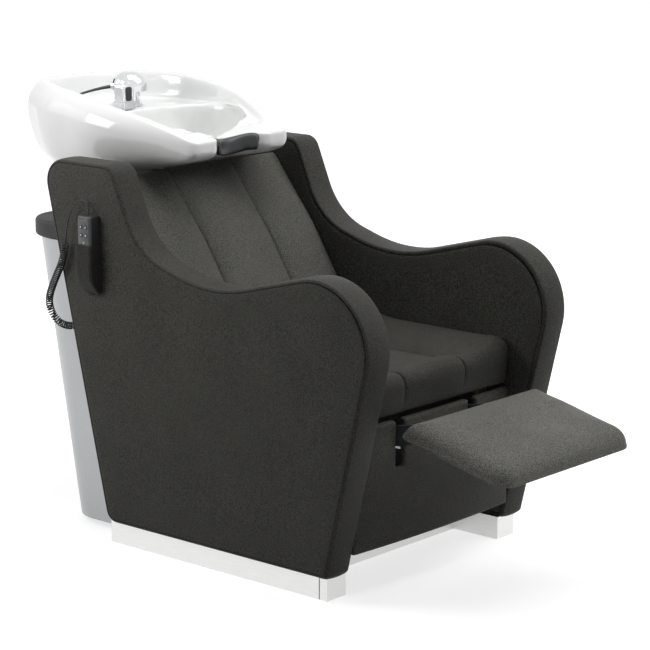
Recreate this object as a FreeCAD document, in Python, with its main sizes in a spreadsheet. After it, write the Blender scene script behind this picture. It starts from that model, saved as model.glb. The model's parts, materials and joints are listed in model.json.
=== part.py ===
"""Backwash unit: a reclined salon chair with a tilting basin, a powered footrest and a wired handset.

Millimetres. Origin on the floor midway between the plinths, +Z up, front of the chair at -Y,
the sitter's left at +X.
"""
import FreeCAD, Part
import Sketcher
import math
import os
import re
from FreeCAD import Placement, Rotation, Vector

# Driving dimensions, by the piece that they set
SIZES = {
    "body": {
        "outer_width": 660, "panel_thickness": 70, "band_thickness": 12, "side_pad": 18,
        "soft_gap": 0.3, "pad_edge": 7,
    },
    "plinths": {
        "plinth_height": 51, "plinth_length": 631, "plinth_width": 59, "plinth_inset": 14,
    },
    "side_outline": {
        "foot_front": 325.5, "foot_rear": 312.5, "foot_front_radius": 8, "foot_rear_radius": 30,
        "panel_top": 840, "top_rear": 499.5, "top_rear_radius": 50,
        "top_front": 281.5, "top_front_radius": 35,
        "shoulder_depth": 207.5, "shoulder_height": 665, "shoulder_radius": 165,
        "valley_lead": 4.5, "valley_height": 599, "valley_radius": 470,
        "nose_lead": 486.5, "nose_rise": 125, "nose_radius": 157,
    },
    "floor_frame": {
        "rail_reach": 189.5, "rail_leg": 45, "rail_wall": 5, "kick_thickness": 3,
        "anchor_margin": 57, "anchor_inset": 24, "anchor_radius": 5.5,
        "runner_thickness": 6, "post_width": 40, "post_depth": 30, "post_margin": 127, "post_front": 456,
        "brace_height": 40, "brace_level": 380,
    },
    "seat": {
        "seat_board_level": 362, "seat_board": 15, "board_setback": 26, "seat_board_rear": 104,
        "cleat_width": 30, "cleat_height": 40, "cleat_setback": 74, "cleat_rear": 95,
        "seat_top": 469, "seat_heel": 489, "seat_rear": 109, "seat_dish": 33, "side_dish": 3,
        "hollow_place": 20, "roll_depth": 86, "seat_bend": 120, "crease_bend": 40,
        "roll_reach": 354, "roll_share": 0.4, "roll_radius": 60, "roll_drop": 3, "tuck_depth": 20,
        "bolt_radius": 4, "bolt_head_radius": 7, "bolt_head": 5, "bolt_clearance": 0.2, "bolt_length": 62,
        "bolt_pitch": 250,
    },
    "upholstery": {
        "seam_place": 100, "seam_half_width": 5, "seam_depth": 5, "side_draw": 9, "side_draw_width": 26,
        "crown_rise": 5,
    },
    "back": {
        "back_foot_y": 112, "back_foot_z": 490, "back_recline": 36.3, "back_length": 386,
        "back_pad": 70, "back_board": 15, "back_bulge": 13, "back_top_radius": 22, "back_board_drop": 25,
        "back_board_length": 290, "back_taper": 45, "back_cleat_low": 40, "back_cleat_high": 280,
        "back_bend": 500,
    },
    "skirt": {
        "skirt_setback": 12, "skirt_thickness": 16, "skirt_bottom": 88, "skirt_top": 352,
        "skirt_bow": 10, "skirt_edge": 6, "skirt_bend": 900,
        "slot_width": 26, "slot_bottom": 250,
    },
    "footrest": {
        "pivot_setback": 61.5, "pivot_z": 305, "footrest_slope": 13, "shaft_radius": 10, "shaft_margin": 78,
        "running_fit": 0.05, "arm_margin": 45, "arm_thickness": 8, "arm_boss": 16,
        "arm_width": 30, "arm_edge": 2, "arm_tip": 6,
        "board_rear": 126, "board_length": 259, "board_rise": 70, "board_thickness": 12,
        "board_margin": 45, "board_corner": 45, "pad_overhang": 10, "pad_height": 40,
        "pad_shoulder": 30, "pad_draw": 8,
        "bracket_margin": 95, "bracket_drop": 18, "bracket_thickness": 10, "bracket_flange": 46,
        "bracket_plate": 6,
    },
    "actuator": {
        "crank_length": 50, "crank_lead": 20.5, "crank_thickness": 10, "crank_half_width": 9,
        "crank_flat": 1,
        "pin_radius": 5,
        "rod_radius": 9, "rod_length": 200, "fork_height": 34, "fork_half_width": 14, "fork_gap": 0.5,
        "fork_nose": 10, "fork_tail": 26, "fork_lap": 1, "slot_clearance": 0.4,
        "slot_corner": 3, "tube_radius": 18, "tube_setback": 139,
        "tube_length": 250, "gearbox_length": 54, "gearbox_half": 27, "motor_radius": 22,
        "motor_length": 120,
        "beam_depth": 40, "beam_height": 30, "beam_setback": 30, "bore_end": 8, "motor_gap": 1,
        "control_depth": 55, "control_length": 120, "control_height": 80, "control_y": 60, "control_z": 120,
    },
    "rear": {
        "shelf_bottom": 642, "shelf_thickness": 40, "shelf_front": 440, "shelf_rear": 664,
        "shelf_corner": 100, "shelf_edge": 8, "shelf_front_corner": 4,
        "cover_low": 15, "cover_wall": 4, "cover_rear_low": 535, "cover_rear_high": 648, "cover_corner": 100,
        "cover_front_low": 275, "cover_front_high": 425,
        "stay_level": 480, "stay_height": 30, "stay_width": 20, "screw_radius": 3, "screw_head": 6,
        "screw_head_height": 3, "screw_length": 20, "screw_room": 6, "cover_edge": 1, "stay_gap": 0.08,
    },
    "basin": {
        "bowl_bottom": 745, "rim_front": 206, "rim_rear": 738, "rim_wall": 22, "glaze_wall": 14,
        "void_wall": 18, "void_drop": 24,
        "lobe_margin": 108, "side_margin": 47, "mid_margin": 63, "rear_margin": 140,
        "rim_side_y": 430, "rim_mid_y": 600, "bulge": 34, "belly_drop": 50,
        "rim_corner": 28, "rim_side_radius": 260, "rim_mid_radius": 200, "rim_rear_radius": 105,
        "chest_front": 374, "chest_level": 800, "lip_rise": 22, "foot_margin": 148, "foot_rear_y": 640,
        "rim_front_z": 876, "rim_side_z": 949, "rim_rear_z": 977,
        "deck_level": 915, "deck_front": 512, "bowl_floor": 768, "bowl_front": 296, "bowl_margin": 90,
        "bowl_heel": 14, "bowl_lean": 5, "bowl_shoulder": 10, "bowl_flare": 2, "deck_ease": 1,
        "drain_y": 448, "drain_radius": 24, "tap_hole_radius": 12,
        "notch_radius": 140, "notch_drop": 14, "recess_radius": 72, "recess_depth": 56,
        "neck_thickness": 10, "neck_height": 32, "neck_ends": 25, "neck_lap": 13, "lap_thickness": 4,
        "neck_rise": 2,
    },
    "tilt": {
        "tilt_y": 528, "tilt_z": 720, "tilt_shaft_radius": 8, "ear_thickness": 10, "ear_place": 70,
        "ear_half": 17, "pedestal_half": 100, "pedestal_front": 492, "pedestal_rear": 600,
        "pedestal_plate": 8, "saddle_plate": 6, "saddle_half": 82, "saddle_front": 496, "saddle_rear": 560,
        "ear_gap": 1, "ear_drop": 5, "ear_flat": 1,
    },
    "waste": {
        "flange_radius": 34, "flange_thickness": 3, "tail_radius": 20, "tail_bore": 17, "tail_drop": 55,
        "nut_radius": 33, "nut_height": 12, "grate_bar": 3,
        "pipe_radius": 20, "pipe_wall": 3, "cuff_radius": 30, "cuff_height": 40, "pipe_bottom": 12,
        "spigot_radius": 16, "spigot_length": 60, "spigot_taper": 8,
        "cuff_drop": 45, "shelf_notch": 38, "grate_lap": 1,
    },
    "mixer": {
        "mixer_x": 15, "mixer_y": 575, "column_radius": 23, "column_height": 34, "column_foot": 29,
        "foot_height": 4, "cap_radius": 39, "cap_height": 43, "cap_edge": 30, "cap_gap": 0.3,
        "shank_length": 50, "blade_heading": 55, "blade_level": 961, "blade_root": 20, "blade_margin": 200,
        "blade_width": 15, "blade_thickness": 8, "blade_droop": 22, "blade_pin": 2.5, "blade_pin_place": 27,
        "blade_play": 0.5, "lift_room": 12, "blade_bend": 150, "blade_edge": 2, "blade_tip": 1,
        "pin_flat": 0.02,
        "dock_x": -40, "dock_y": 537, "dock_wall": 2.5, "dock_height": 16, "dock_clearance": 0.35,
        "shower_half_x": 19, "shower_half_y": 15, "shower_height": 56, "shower_edge": 4,
        "spray_half_width": 10, "spray_height": 32, "spray_thickness": 2,
    },
    "handset": {
        "handset_y": 334.6, "handset_width": 40, "handset_depth": 33, "handset_height": 130,
        "handset_bottom": 602, "handset_edge": 6, "handset_wall": 3,
        "pocket_wall": 2.5, "pocket_slack": 1.2, "pocket_bottom": 561, "pocket_top": 667,
        "pocket_flange": 16,
        "pocket_edge": 6, "flange_thick": 2,
        "button_radius": 4.5, "button_height": 4, "button_proud": 1.2, "button_fit": 0.25,
        "button_travel": 1,
        "button_pitch_y": 15, "button_pitch_z": 18, "button_low": 690, "lamp_radius": 3, "lamp_level": 674,
        "lamp_length": 4,
    },
    "cord": {
        "cord_diameter": 3, "curl_radius": 7.1, "curl_pitch": 5.6, "gland_radius": 11, "gland_length": 24,
        "gland_level": 474, "gland_inset": 31, "gland_approach": 29,
    },
}

doc = FreeCAD.newDocument("backwash_unit")
sheet = doc.addObject("Spreadsheet::Sheet", "Sizes")
row = 0
for sizes in SIZES.values():
    for alias, value in sizes.items():
        row += 1
        sheet.set(f"A{row}", alias)
        sheet.set(f"B{row}", str(value))
        sheet.setAlias(f"B{row}", alias)
doc.recompute()

ALIAS = re.compile(r"\b(" + "|".join(alias for sizes in SIZES.values() for alias in sizes) + r")\b")
X_AXIS = Vector(1, 0, 0)
Y_AXIS = Vector(0, 1, 0)
Z_AXIS = Vector(0, 0, 1)
SIDES = (("left", 1), ("right", -1))
nodes = {}


def number(formula):
    """Value of a formula written in the sheet's aliases."""
    return float(sheet.evalExpression(formula))


def bind(thing, prop, formula):
    """Tie a property to a formula of the sheet's cells."""
    thing.setExpression(prop, ALIAS.sub(r"Sizes.\1", formula))


def place(thing, x, y, z):
    for axis, formula in zip("xyz", (x, y, z)):
        bind(thing, "Placement.Base." + axis, formula)


def node(label, thing):
    """Name an object as a finished piece."""
    thing.Label = label
    nodes[label] = thing
    return thing


def box(x, y, z):
    """Box between pairs of formulas."""
    thing = doc.addObject("Part::Box", "box")
    for prop, (low, high) in zip(("Length", "Width", "Height"), (x, y, z)):
        bind(thing, prop, f"({high}) - ({low})")
    place(thing, x[0], y[0], z[0])
    return thing


TURNS = {"X": Rotation(Y_AXIS, 90), "Y": Rotation(X_AXIS, -90), "Z": Rotation()}


def rod(axis, radius, length, x, y, z):
    """Cylinder along an axis from its start point."""
    thing = doc.addObject("Part::Cylinder", "rod")
    thing.Placement = Placement(Vector(), TURNS[axis])
    bind(thing, "Radius", radius)
    bind(thing, "Height", length)
    place(thing, x, y, z)
    return thing


def cone(low_radius, high_radius, length, x, y, z):
    """Upright cone standing on a point."""
    thing = doc.addObject("Part::Cone", "cone")
    bind(thing, "Radius1", low_radius)
    bind(thing, "Radius2", high_radius)
    bind(thing, "Height", length)
    place(thing, x, y, z)
    return thing


def cut(base, *tools):
    """Base without the tools."""
    tool = tools[0]
    if len(tools) > 1:
        tool = doc.addObject("Part::Compound", "tools")
        tool.Links = list(tools)
    thing = doc.addObject("Part::Cut", "cut")
    thing.Base = base
    thing.Tool = tool
    return thing


def fuse(*pieces):
    thing = doc.addObject("Part::MultiFuse", "fuse")
    thing.Shapes = list(pieces)
    return thing


def group(*pieces):
    """Separate solids that share one node."""
    thing = doc.addObject("Part::Compound", "group")
    thing.Links = list(pieces)
    return thing


def corner_runs(points, radii):
    """Start and end of each corner's arc, with the incoming direction and the turn."""
    runs = []
    for i, point in enumerate(points):
        before = (point - points[i - 1]).normalize()
        after = (points[(i + 1) % len(points)] - point).normalize()
        turn = math.atan2(before.x * after.y - before.y * after.x, before.dot(after))
        reach = radii[i] * math.tan(abs(turn) / 2)
        runs.append((point - before * reach, point + after * reach, before, turn))
    return runs


def fix_point(sketch, geometry, position, point, formulas):
    for kind, value, formula in zip(("DistanceX", "DistanceY"), (point.x, point.y), formulas):
        index = sketch.addConstraint(Sketcher.Constraint(kind, -1, 1, geometry, position, value))
        bind(sketch, f"Constraints[{index}]", formula)


def fix_radius(sketch, arc, formula):
    index = sketch.addConstraint(Sketcher.Constraint("Radius", arc, number(formula)))
    bind(sketch, f"Constraints[{index}]", formula)


def draw_outline(sketch, corners):
    """Closed outline of straight runs. A corner is (u, v, radius), rounded by a tangent arc."""
    points = [Vector(number(u), number(v), 0) for u, v, radius in corners]
    radii = [number(radius) for u, v, radius in corners]
    runs = corner_runs(points, radii)
    count = len(points)
    lines = []
    for i in range(count):
        line = Part.LineSegment(runs[i][1], runs[(i + 1) % count][0])
        lines.append(sketch.addGeometry(line, False))
    for i, (u, v, radius) in enumerate(corners):
        before, after = lines[i - 1], lines[i]
        if radii[i] == 0:
            sketch.addConstraint(Sketcher.Constraint("Coincident", before, 2, after, 1))
            fix_point(sketch, after, 1, points[i], (u, v))
            continue
        start, end, heading, turn = runs[i]
        centre = start + Vector(-heading.y, heading.x, 0) * math.copysign(radii[i], turn)
        angle = math.atan2(start.y - centre.y, start.x - centre.x)
        low, high = sorted((angle, angle + turn))
        circle = Part.Circle(centre, Z_AXIS, radii[i])
        arc = sketch.addGeometry(Part.ArcOfCircle(circle, low, high), False)
        first, last = (1, 2) if turn > 0 else (2, 1)
        sketch.addConstraint(Sketcher.Constraint("Tangent", before, 2, arc, first))
        sketch.addConstraint(Sketcher.Constraint("Tangent", arc, last, after, 1))
        fix_radius(sketch, arc, radius)
        corner = sketch.addGeometry(Part.Point(points[i]), True)
        sketch.addConstraint(Sketcher.Constraint("PointOnObject", corner, 1, before))
        sketch.addConstraint(Sketcher.Constraint("PointOnObject", corner, 1, after))
        fix_point(sketch, corner, 1, points[i], (u, v))


def draw_circle(sketch, u, v, radius):
    centre = Vector(number(u), number(v), 0)
    circle = sketch.addGeometry(Part.Circle(centre, Z_AXIS, number(radius)), False)
    fix_radius(sketch, circle, radius)
    fix_point(sketch, circle, 3, centre, (u, v))


def prism(plane, start, depth, corners, holes=()):
    """Body with one padded sketch. On YZ the sketch reads (y, z) and pads along +X,
    on XY it reads (x, y) and pads along +Z, on XZ it reads (x, z) and pads along -Y."""
    body = doc.addObject("PartDesign::Body", "body")
    sketch = body.newObject("Sketcher::SketchObject", "outline")
    for feature in body.Origin.OriginFeatures:
        if feature.Role == plane + "_Plane":
            sketch.AttachmentSupport = [(feature, "")]
    sketch.MapMode = "FlatFace"
    bind(sketch, "AttachmentOffset.Base.z", start)
    draw_outline(sketch, corners)
    for hole in holes:
        draw_circle(sketch, *hole)
    pad = body.newObject("PartDesign::Pad", "pad")
    pad.Profile = sketch
    bind(pad, "Length", depth)
    return body


def tilt(body, y, z, angle):
    """Turn a body about a line along X through (y, z), where its own origin goes."""
    body.Placement = Placement(Vector(), Rotation(X_AXIS, 1))
    bind(body, "Placement.Rotation.Angle", angle)
    place(body, "0", y, z)
    return body


def rounded(thing, radius, chosen):
    """Fillet on the edges that a test picks."""
    doc.recompute()
    edges = [i + 1 for i, edge in enumerate(thing.Shape.Edges) if chosen(edge)]
    fillet = doc.addObject("Part::Fillet", "fillet")
    fillet.Base = thing
    fillet.Edges = [(i, number(radius), number(radius)) for i in edges]
    return fillet


def on_plane(axis, formula):
    """Test for edges that lie in a plane across an axis."""
    index = "XYZ".index(axis)
    level = number(formula)
    return lambda edge: all(abs(vertex.Point[index] - level) < 1e-4 for vertex in edge.Vertexes)


def mirrored(thing):
    """Copy on the other side of the middle plane."""
    copy = doc.addObject("Part::Mirroring", "mirrored")
    copy.Source = thing
    copy.Normal = X_AXIS
    return copy


def on_side(side, near, far):
    """X range of a piece on one side, from two distances off the middle plane."""
    return (near, far) if side > 0 else (f"-({far})", f"-({near})")


INNER = "(outer_width / 2 - panel_thickness)"
PLINTH_INNER = "(outer_width / 2 - plinth_inset - plinth_width)"
SHELF_TOP = "(shelf_bottom + shelf_thickness)"
SEAT_TOP_OF_BOARD = "(seat_board_level + seat_board)"
POST_HALF = f"({PLINTH_INNER} - post_margin)"
BOARD_HALF = f"({INNER} - board_margin)"
BRACKET = f"({INNER} - bracket_margin)"
ARM = f"({BRACKET} - arm_margin)"
BLADE_REACH = "(outer_width / 2 - blade_margin)"
BOARD_FRONT = "(roll_reach - board_setback)"
CLEAT_FRONT = "(roll_reach - cleat_setback)"
SKIRT_FRONT = "(roll_reach - skirt_setback)"
PIVOT_Y = "(roll_reach - pivot_setback)"
TUBE_FRONT = "(roll_reach - tube_setback)"
SHAFT_HALF = f"({INNER} - shaft_margin)"
PIPE_TOP = "(bowl_bottom - cuff_drop)"
NOTCH_CENTRE = "(rim_front_z - notch_drop + notch_radius)"
RECESS_Y = "(rim_front + recess_depth - recess_radius)"
RUN_SHARE = 0.46


def add_plinths():
    """Light metal plinths under the panels, and the kick plate between them."""
    for name, side in SIDES:
        x = on_side(side, PLINTH_INNER, "outer_width / 2 - plinth_inset")
        piece = box(x, ("-plinth_length / 2", "plinth_length / 2"), ("0", "plinth_height"))
        node(f"{name}_plinth", piece)
    y = ("-rail_reach - kick_thickness", "-rail_reach")
    node("kick_plate", box((f"-{PLINTH_INNER}", PLINTH_INNER), y, ("0", "plinth_height")))


def add_floor_frame():
    """Angle rails with anchor holes, and the welded rear frame: runners, posts and a brace."""
    rails = []
    for name, way in (("front", -1), ("rear", 1)):
        corners = [("rail_reach - rail_leg", "0"), ("rail_reach", "0"), ("rail_reach", "rail_leg"),
                   ("rail_reach - rail_wall", "rail_leg"), ("rail_reach - rail_wall", "rail_wall"),
                   ("rail_reach - rail_leg", "rail_wall")]
        corners = [(f"{way} * ({u})", v, "0") for u, v in corners]
        rail = prism("YZ", f"-{PLINTH_INNER}", f"2 * {PLINTH_INNER}", corners)
        anchors = [rod("Z", "anchor_radius", "rail_wall", f"{side} * ({PLINTH_INNER} - anchor_margin)",
                       f"{way} * (rail_reach - anchor_inset)", "0") for label, side in SIDES]
        rails.append(cut(rail, *anchors))
    node("floor_rails", group(*rails))
    post_rear = "post_front + post_depth"
    reach = f"({POST_HALF} + post_width)"
    frame = [box((f"-{POST_HALF}", POST_HALF), ("drain_y + pipe_radius", post_rear),
                 ("brace_level", "brace_level + brace_height"))]
    for name, side in SIDES:
        x = on_side(side, POST_HALF, reach)
        frame.append(box(x, ("rail_reach", post_rear), ("0", "runner_thickness")))
        frame.append(box(x, ("post_front", post_rear), ("0", "shelf_bottom")))
    node("rear_frame", fuse(*frame))


def side_outline():
    """Outline of a side panel, on the outer face of the sitter's right panel."""
    sketch = doc.addObject("Sketcher::SketchObject", "side_outline")
    sketch.Placement = Placement(Vector(), Rotation(90, 0, 90))
    bind(sketch, "Placement.Base.x", "-outer_width / 2")
    draw_outline(sketch, [
        ("foot_rear", "plinth_height", "foot_rear_radius"),
        ("top_rear", "panel_top", "top_rear_radius"),
        ("top_front", "panel_top", "top_front_radius"),
        ("shoulder_depth", "shoulder_height", "shoulder_radius"),
        ("-valley_lead", "valley_height", "valley_radius"),
        ("-nose_lead", "valley_height + nose_rise", "nose_radius"),
        ("-foot_front", "plinth_height", "foot_front_radius"),
    ])
    return sketch


def layer(base, start, end):
    """Slab of an outline between two depths from the outer face."""
    thing = doc.addObject("Part::Extrusion", "layer")
    thing.Base = base
    thing.DirMode = "Custom"
    thing.Dir = X_AXIS
    thing.Solid = True
    bind(thing, "LengthFwd", end)
    bind(thing, "LengthRev", f"-({start})")
    return thing


def cleat_bolts(side, clearance):
    """Bolts through a seat cleat into the panel's core, with their heads on the cleat."""
    head_x = f"{INNER} - cleat_width"
    bolts = []
    for step in (-1, 1):
        y = f"(cleat_rear - {CLEAT_FRONT}) / 2 + {step} * bolt_pitch / 2"
        z = "seat_board_level - cleat_height / 2"
        x = head_x if side > 0 else f"-({head_x}) - bolt_length"
        shank = rod("X", f"bolt_radius + {clearance}", "bolt_length", x, y, z)
        if clearance != "0":
            bolts.append(shank)
            continue
        x = f"{head_x} - bolt_head" if side > 0 else f"-({head_x})"
        bolts.append(fuse(shank, rod("X", "bolt_head_radius", "bolt_head", x, y, z)))
    return bolts


def add_side_panels():
    """Core board, inner and outer pads and the sewn band round the edge, on each side."""
    outline = side_outline()
    inset = doc.addObject("Part::Offset2D", "band_inside")
    inset.Source = outline
    bind(inset, "Value", "-band_thickness")
    pad_line = doc.addObject("Part::Offset2D", "pad_outline")
    pad_line.Source = outline
    bind(pad_line, "Value", "-band_thickness - soft_gap")
    core_end = "panel_thickness - side_pad"
    band = cut(layer(outline, "0", "panel_thickness"), layer(inset, "0", "panel_thickness"))
    core = layer(pad_line, "side_pad", core_end)
    outer = rounded(layer(pad_line, "0", "side_pad"), "pad_edge", on_plane("X", "-outer_width / 2"))
    inner = rounded(layer(pad_line, core_end, "panel_thickness"), "pad_edge", on_plane("X", f"-{INNER}"))
    cores = []
    for name, side in SIDES:
        holes = cleat_bolts(side, "bolt_clearance")
        side_pieces = [band, outer, inner, core]
        if side > 0:
            side_pieces = [mirrored(piece) for piece in side_pieces]
        node(f"{name}_edge_band", side_pieces[0])
        node(f"{name}_outer_pad", side_pieces[1])
        node(f"{name}_inner_pad", cut(side_pieces[2], *holes))
        cores.append(cut(side_pieces[3], *holes))
    node("panel_cores", group(*cores))


def section(x, corners):
    """Closed wire of straight runs and tangent arcs across X. A corner is (y, z, radius)."""
    points = [Vector(y, z, 0) for y, z, radius in corners]
    radii = [radius for y, z, radius in corners]
    for i, point in enumerate(points):
        follow = points[(i + 1) % len(points)]
        before, after = point - points[i - 1], follow - point
        half_turn = before.getAngle(after) / 2
        radii[i] = min(radii[i], RUN_SHARE * min(before.Length, after.Length) / math.tan(half_turn))
    runs = corner_runs(points, radii)
    edges = []
    for i, (start, end, heading, turn) in enumerate(runs):
        follow = runs[(i + 1) % len(runs)][0]
        ends = [start, end, follow]
        if radii[i] > 0:
            centre = start + Vector(-heading.y, heading.x, 0) * math.copysign(radii[i], turn)
            middle = centre + (points[i] - centre).normalize() * radii[i]
            ends.insert(1, middle)
        ends = [Vector(x, point.x, point.y) for point in ends]
        if radii[i] > 0:
            edges.append(Part.Arc(ends[0], ends[1], ends[2]).toShape())
        edges.append(Part.LineSegment(ends[-2], ends[-1]).toShape())
    return Part.Wire(edges)


def channel_stations(half_width):
    """Places across a cushion and how far its skin is drawn in at each: the sides, then the two seams."""
    seam = number("seam_place")
    half_seam = number("seam_half_width")
    draw = number("side_draw")
    crown = number("crown_rise")
    right = [(half_width, draw), (half_width - number("side_draw_width"), 0), (seam + half_seam, 0),
             (seam, number("seam_depth")), (seam - half_seam, 0)]
    return [(-x, inset) for x, inset in right] + [(0, -crown)] + [(x, inset) for x, inset in reversed(right)]


def channelled(label, corners_at, placement=Placement()):
    """Cushion lofted across X through a section that is drawn in at its sides and seams."""
    half_width = number(f"{INNER} - soft_gap")
    wires = [section(x, corners_at(x, inset)) for x, inset in channel_stations(half_width)]
    thing = doc.addObject("Part::Feature", label)
    thing.Shape = Part.makeLoft(wires, True, True)
    thing.Placement = placement
    return node(label, thing)


def dish_depth(x):
    """Depth of the seat's dish: full between the seams, and fading out to the sides."""
    seam = number("seam_place + seam_half_width")
    edge = number(f"{INNER} - soft_gap - side_draw_width")
    share = min(1, max(0, (edge - abs(x)) / (edge - seam)))
    return number("side_dish") + share * number("seat_dish - side_dish")


def seat_corners(x, inset):
    """Side section of the seat cushion: flat underneath, dished behind the roll over its front edge."""
    board = number(SEAT_TOP_OF_BOARD)
    rear = number("seat_rear")
    dish = dish_depth(x)
    top = number("seat_top") - inset
    low = number("seat_board_level - roll_drop")
    board_front = -number(f"{BOARD_FRONT} + soft_gap")
    corner = number("seam_depth")
    return [(rear, board, 0), (rear, number("seat_heel") - inset, corner),
            (-number("hollow_place"), top - dish, number("seat_bend")),
            (-number("roll_reach - roll_depth"), top - dish, number("crease_bend")),
            (inset - number("roll_reach"), top - dish * number("roll_share"), number("roll_radius")),
            (-number("roll_reach - tuck_depth"), low, corner), (board_front, low, 0),
            (board_front, board, 0)]


def add_seat():
    """Cleats on the panels, the seat board on them, and the cushion with its front roll."""
    cleats = []
    for name, side in SIDES:
        x = on_side(side, f"{INNER} - cleat_width", INNER)
        z = ("seat_board_level - cleat_height", "seat_board_level")
        cleat = box(x, (f"-{CLEAT_FRONT}", "cleat_rear"), z)
        cleats.append(cut(cleat, *cleat_bolts(side, "bolt_clearance")))
    node("seat_cleats", group(*cleats))
    node("cleat_bolts", group(*[bolt for name, side in SIDES for bolt in cleat_bolts(side, "0")]))
    reach = f"({INNER} - soft_gap)"
    node("seat_board", box((f"-{reach}", reach), (f"-{BOARD_FRONT}", "seat_board_rear"),
                           ("seat_board_level", SEAT_TOP_OF_BOARD)))
    channelled("seat_cushion", seat_corners)


def back_corners(x, inset):
    """Side section of the back cushion in its own plane: flat behind, bulged in front, thin at its top."""
    pad = number("back_pad")
    length = number("back_length")
    radius = number("back_top_radius")
    return [(pad, 0, 0), (pad, number("back_board_length"), radius),
            (pad - number("back_taper"), length, radius / 4), (inset, length - inset / 2, radius / 2),
            (inset - number("back_bulge"), length / 2, number("back_bend")), (inset, inset / 2, radius / 2)]


def back_frame(body):
    return tilt(body, "back_foot_y", "back_foot_z", "-back_recline")


def add_back():
    """Reclined back board on its cleats, and the cushion on it."""
    rear = "(back_pad + back_board)"
    reach = f"({INNER} - soft_gap)"
    low, high = "-back_board_drop", "back_board_length"
    corners = [("back_pad", low, "0"), (rear, low, "0"), (rear, high, "0"), ("back_pad", high, "0")]
    node("back_board", back_frame(prism("YZ", f"-{reach}", f"2 * {reach}", corners)))
    cleats = []
    for name, side in SIDES:
        start = on_side(side, f"{INNER} - cleat_width", INNER)[0]
        corners = [(rear, "back_cleat_low", "0"), (f"{rear} + cleat_width", "back_cleat_low", "0"),
                   (f"{rear} + cleat_width", "back_cleat_high", "0"), (rear, "back_cleat_high", "0")]
        cleats.append(back_frame(prism("YZ", start, "cleat_width", corners)))
    node("back_cleats", group(*cleats))
    foot = Vector(0, number("back_foot_y"), number("back_foot_z"))
    placement = Placement(foot, Rotation(X_AXIS, -number("back_recline")))
    channelled("back_cushion", back_corners, placement)


def add_front_skirt():
    """Bowed skirt below the seat roll, slotted where the footrest arms swing down."""
    reach = f"({INNER} - soft_gap)"
    back = f"-{SKIRT_FRONT} + skirt_thickness"
    corners = [(f"-{reach}", back, "0"), (f"-{reach}", f"-{SKIRT_FRONT}", "skirt_edge"),
               ("0", f"-{SKIRT_FRONT} - skirt_bow", "skirt_bend"), (reach, f"-{SKIRT_FRONT}", "skirt_edge"),
               (reach, back, "0")]
    skirt = prism("XY", "skirt_bottom", "skirt_top - skirt_bottom", corners)
    slots = []
    for name, side in SIDES:
        x = on_side(side, f"{ARM} - slot_width / 2", f"{ARM} + slot_width / 2")
        slots.append(box(x, (f"-{SKIRT_FRONT} - 2 * skirt_bow", back), ("slot_bottom", "skirt_top")))
    node("front_skirt", cut(skirt, *slots))


def footrest_frame(body):
    """Footrest pieces are drawn level about the pivot, and then slope down to the front."""
    return tilt(body, f"-{PIVOT_Y}", "pivot_z", "footrest_slope")


def plan_wire(half, rear, front, corner, z):
    """Rounded rectangle in plan with rear corners a third as round as the front ones."""
    rear_corner = corner / 3
    wire = section(0, [(-half, rear, rear_corner), (-half, front, corner), (half, front, corner),
                       (half, rear, rear_corner)])
    wire.Placement = Placement(Vector(0, 0, z), Rotation(Vector(1, 1, 1), -120))
    return wire


def add_footrest_pad():
    """Board and its crowned cushion."""
    front = "(-board_rear - board_length)"
    rear_corner = "board_corner / 3"
    corners = [(f"-{BOARD_HALF}", "-board_rear", rear_corner), (f"-{BOARD_HALF}", front, "board_corner"),
               (BOARD_HALF, front, "board_corner"), (BOARD_HALF, "-board_rear", rear_corner)]
    node("footrest_board", footrest_frame(prism("XY", "board_rise", "board_thickness", corners)))
    base = number("board_rise + board_thickness")
    height = number("pad_height")
    shoulder = number("pad_shoulder")
    overhang = number("pad_overhang")
    draw = number("pad_draw")
    levels = [(0, overhang - draw), (height * 0.2, overhang - draw / 4), (height * 0.4, overhang),
              (height * 0.62, overhang - draw / 2), (height * 0.8, overhang - draw * 1.6),
              (height * 0.92, overhang - shoulder), (height, overhang - 2.4 * shoulder)]
    wires = []
    for rise, grow in levels:
        corner = number("board_corner") + max(grow, 0)
        wires.append(plan_wire(number(BOARD_HALF) + grow, -number("board_rear") + grow,
                               number(front) - grow, corner, base + rise))
    cushion = doc.addObject("Part::Feature", "footrest_cushion")
    cushion.Shape = Part.makeLoft(wires, True, True)
    foot = Vector(0, -number(PIVOT_Y), number("pivot_z"))
    cushion.Placement = Placement(foot, Rotation(X_AXIS, number("footrest_slope")))
    node("footrest_cushion", cushion)


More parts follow.
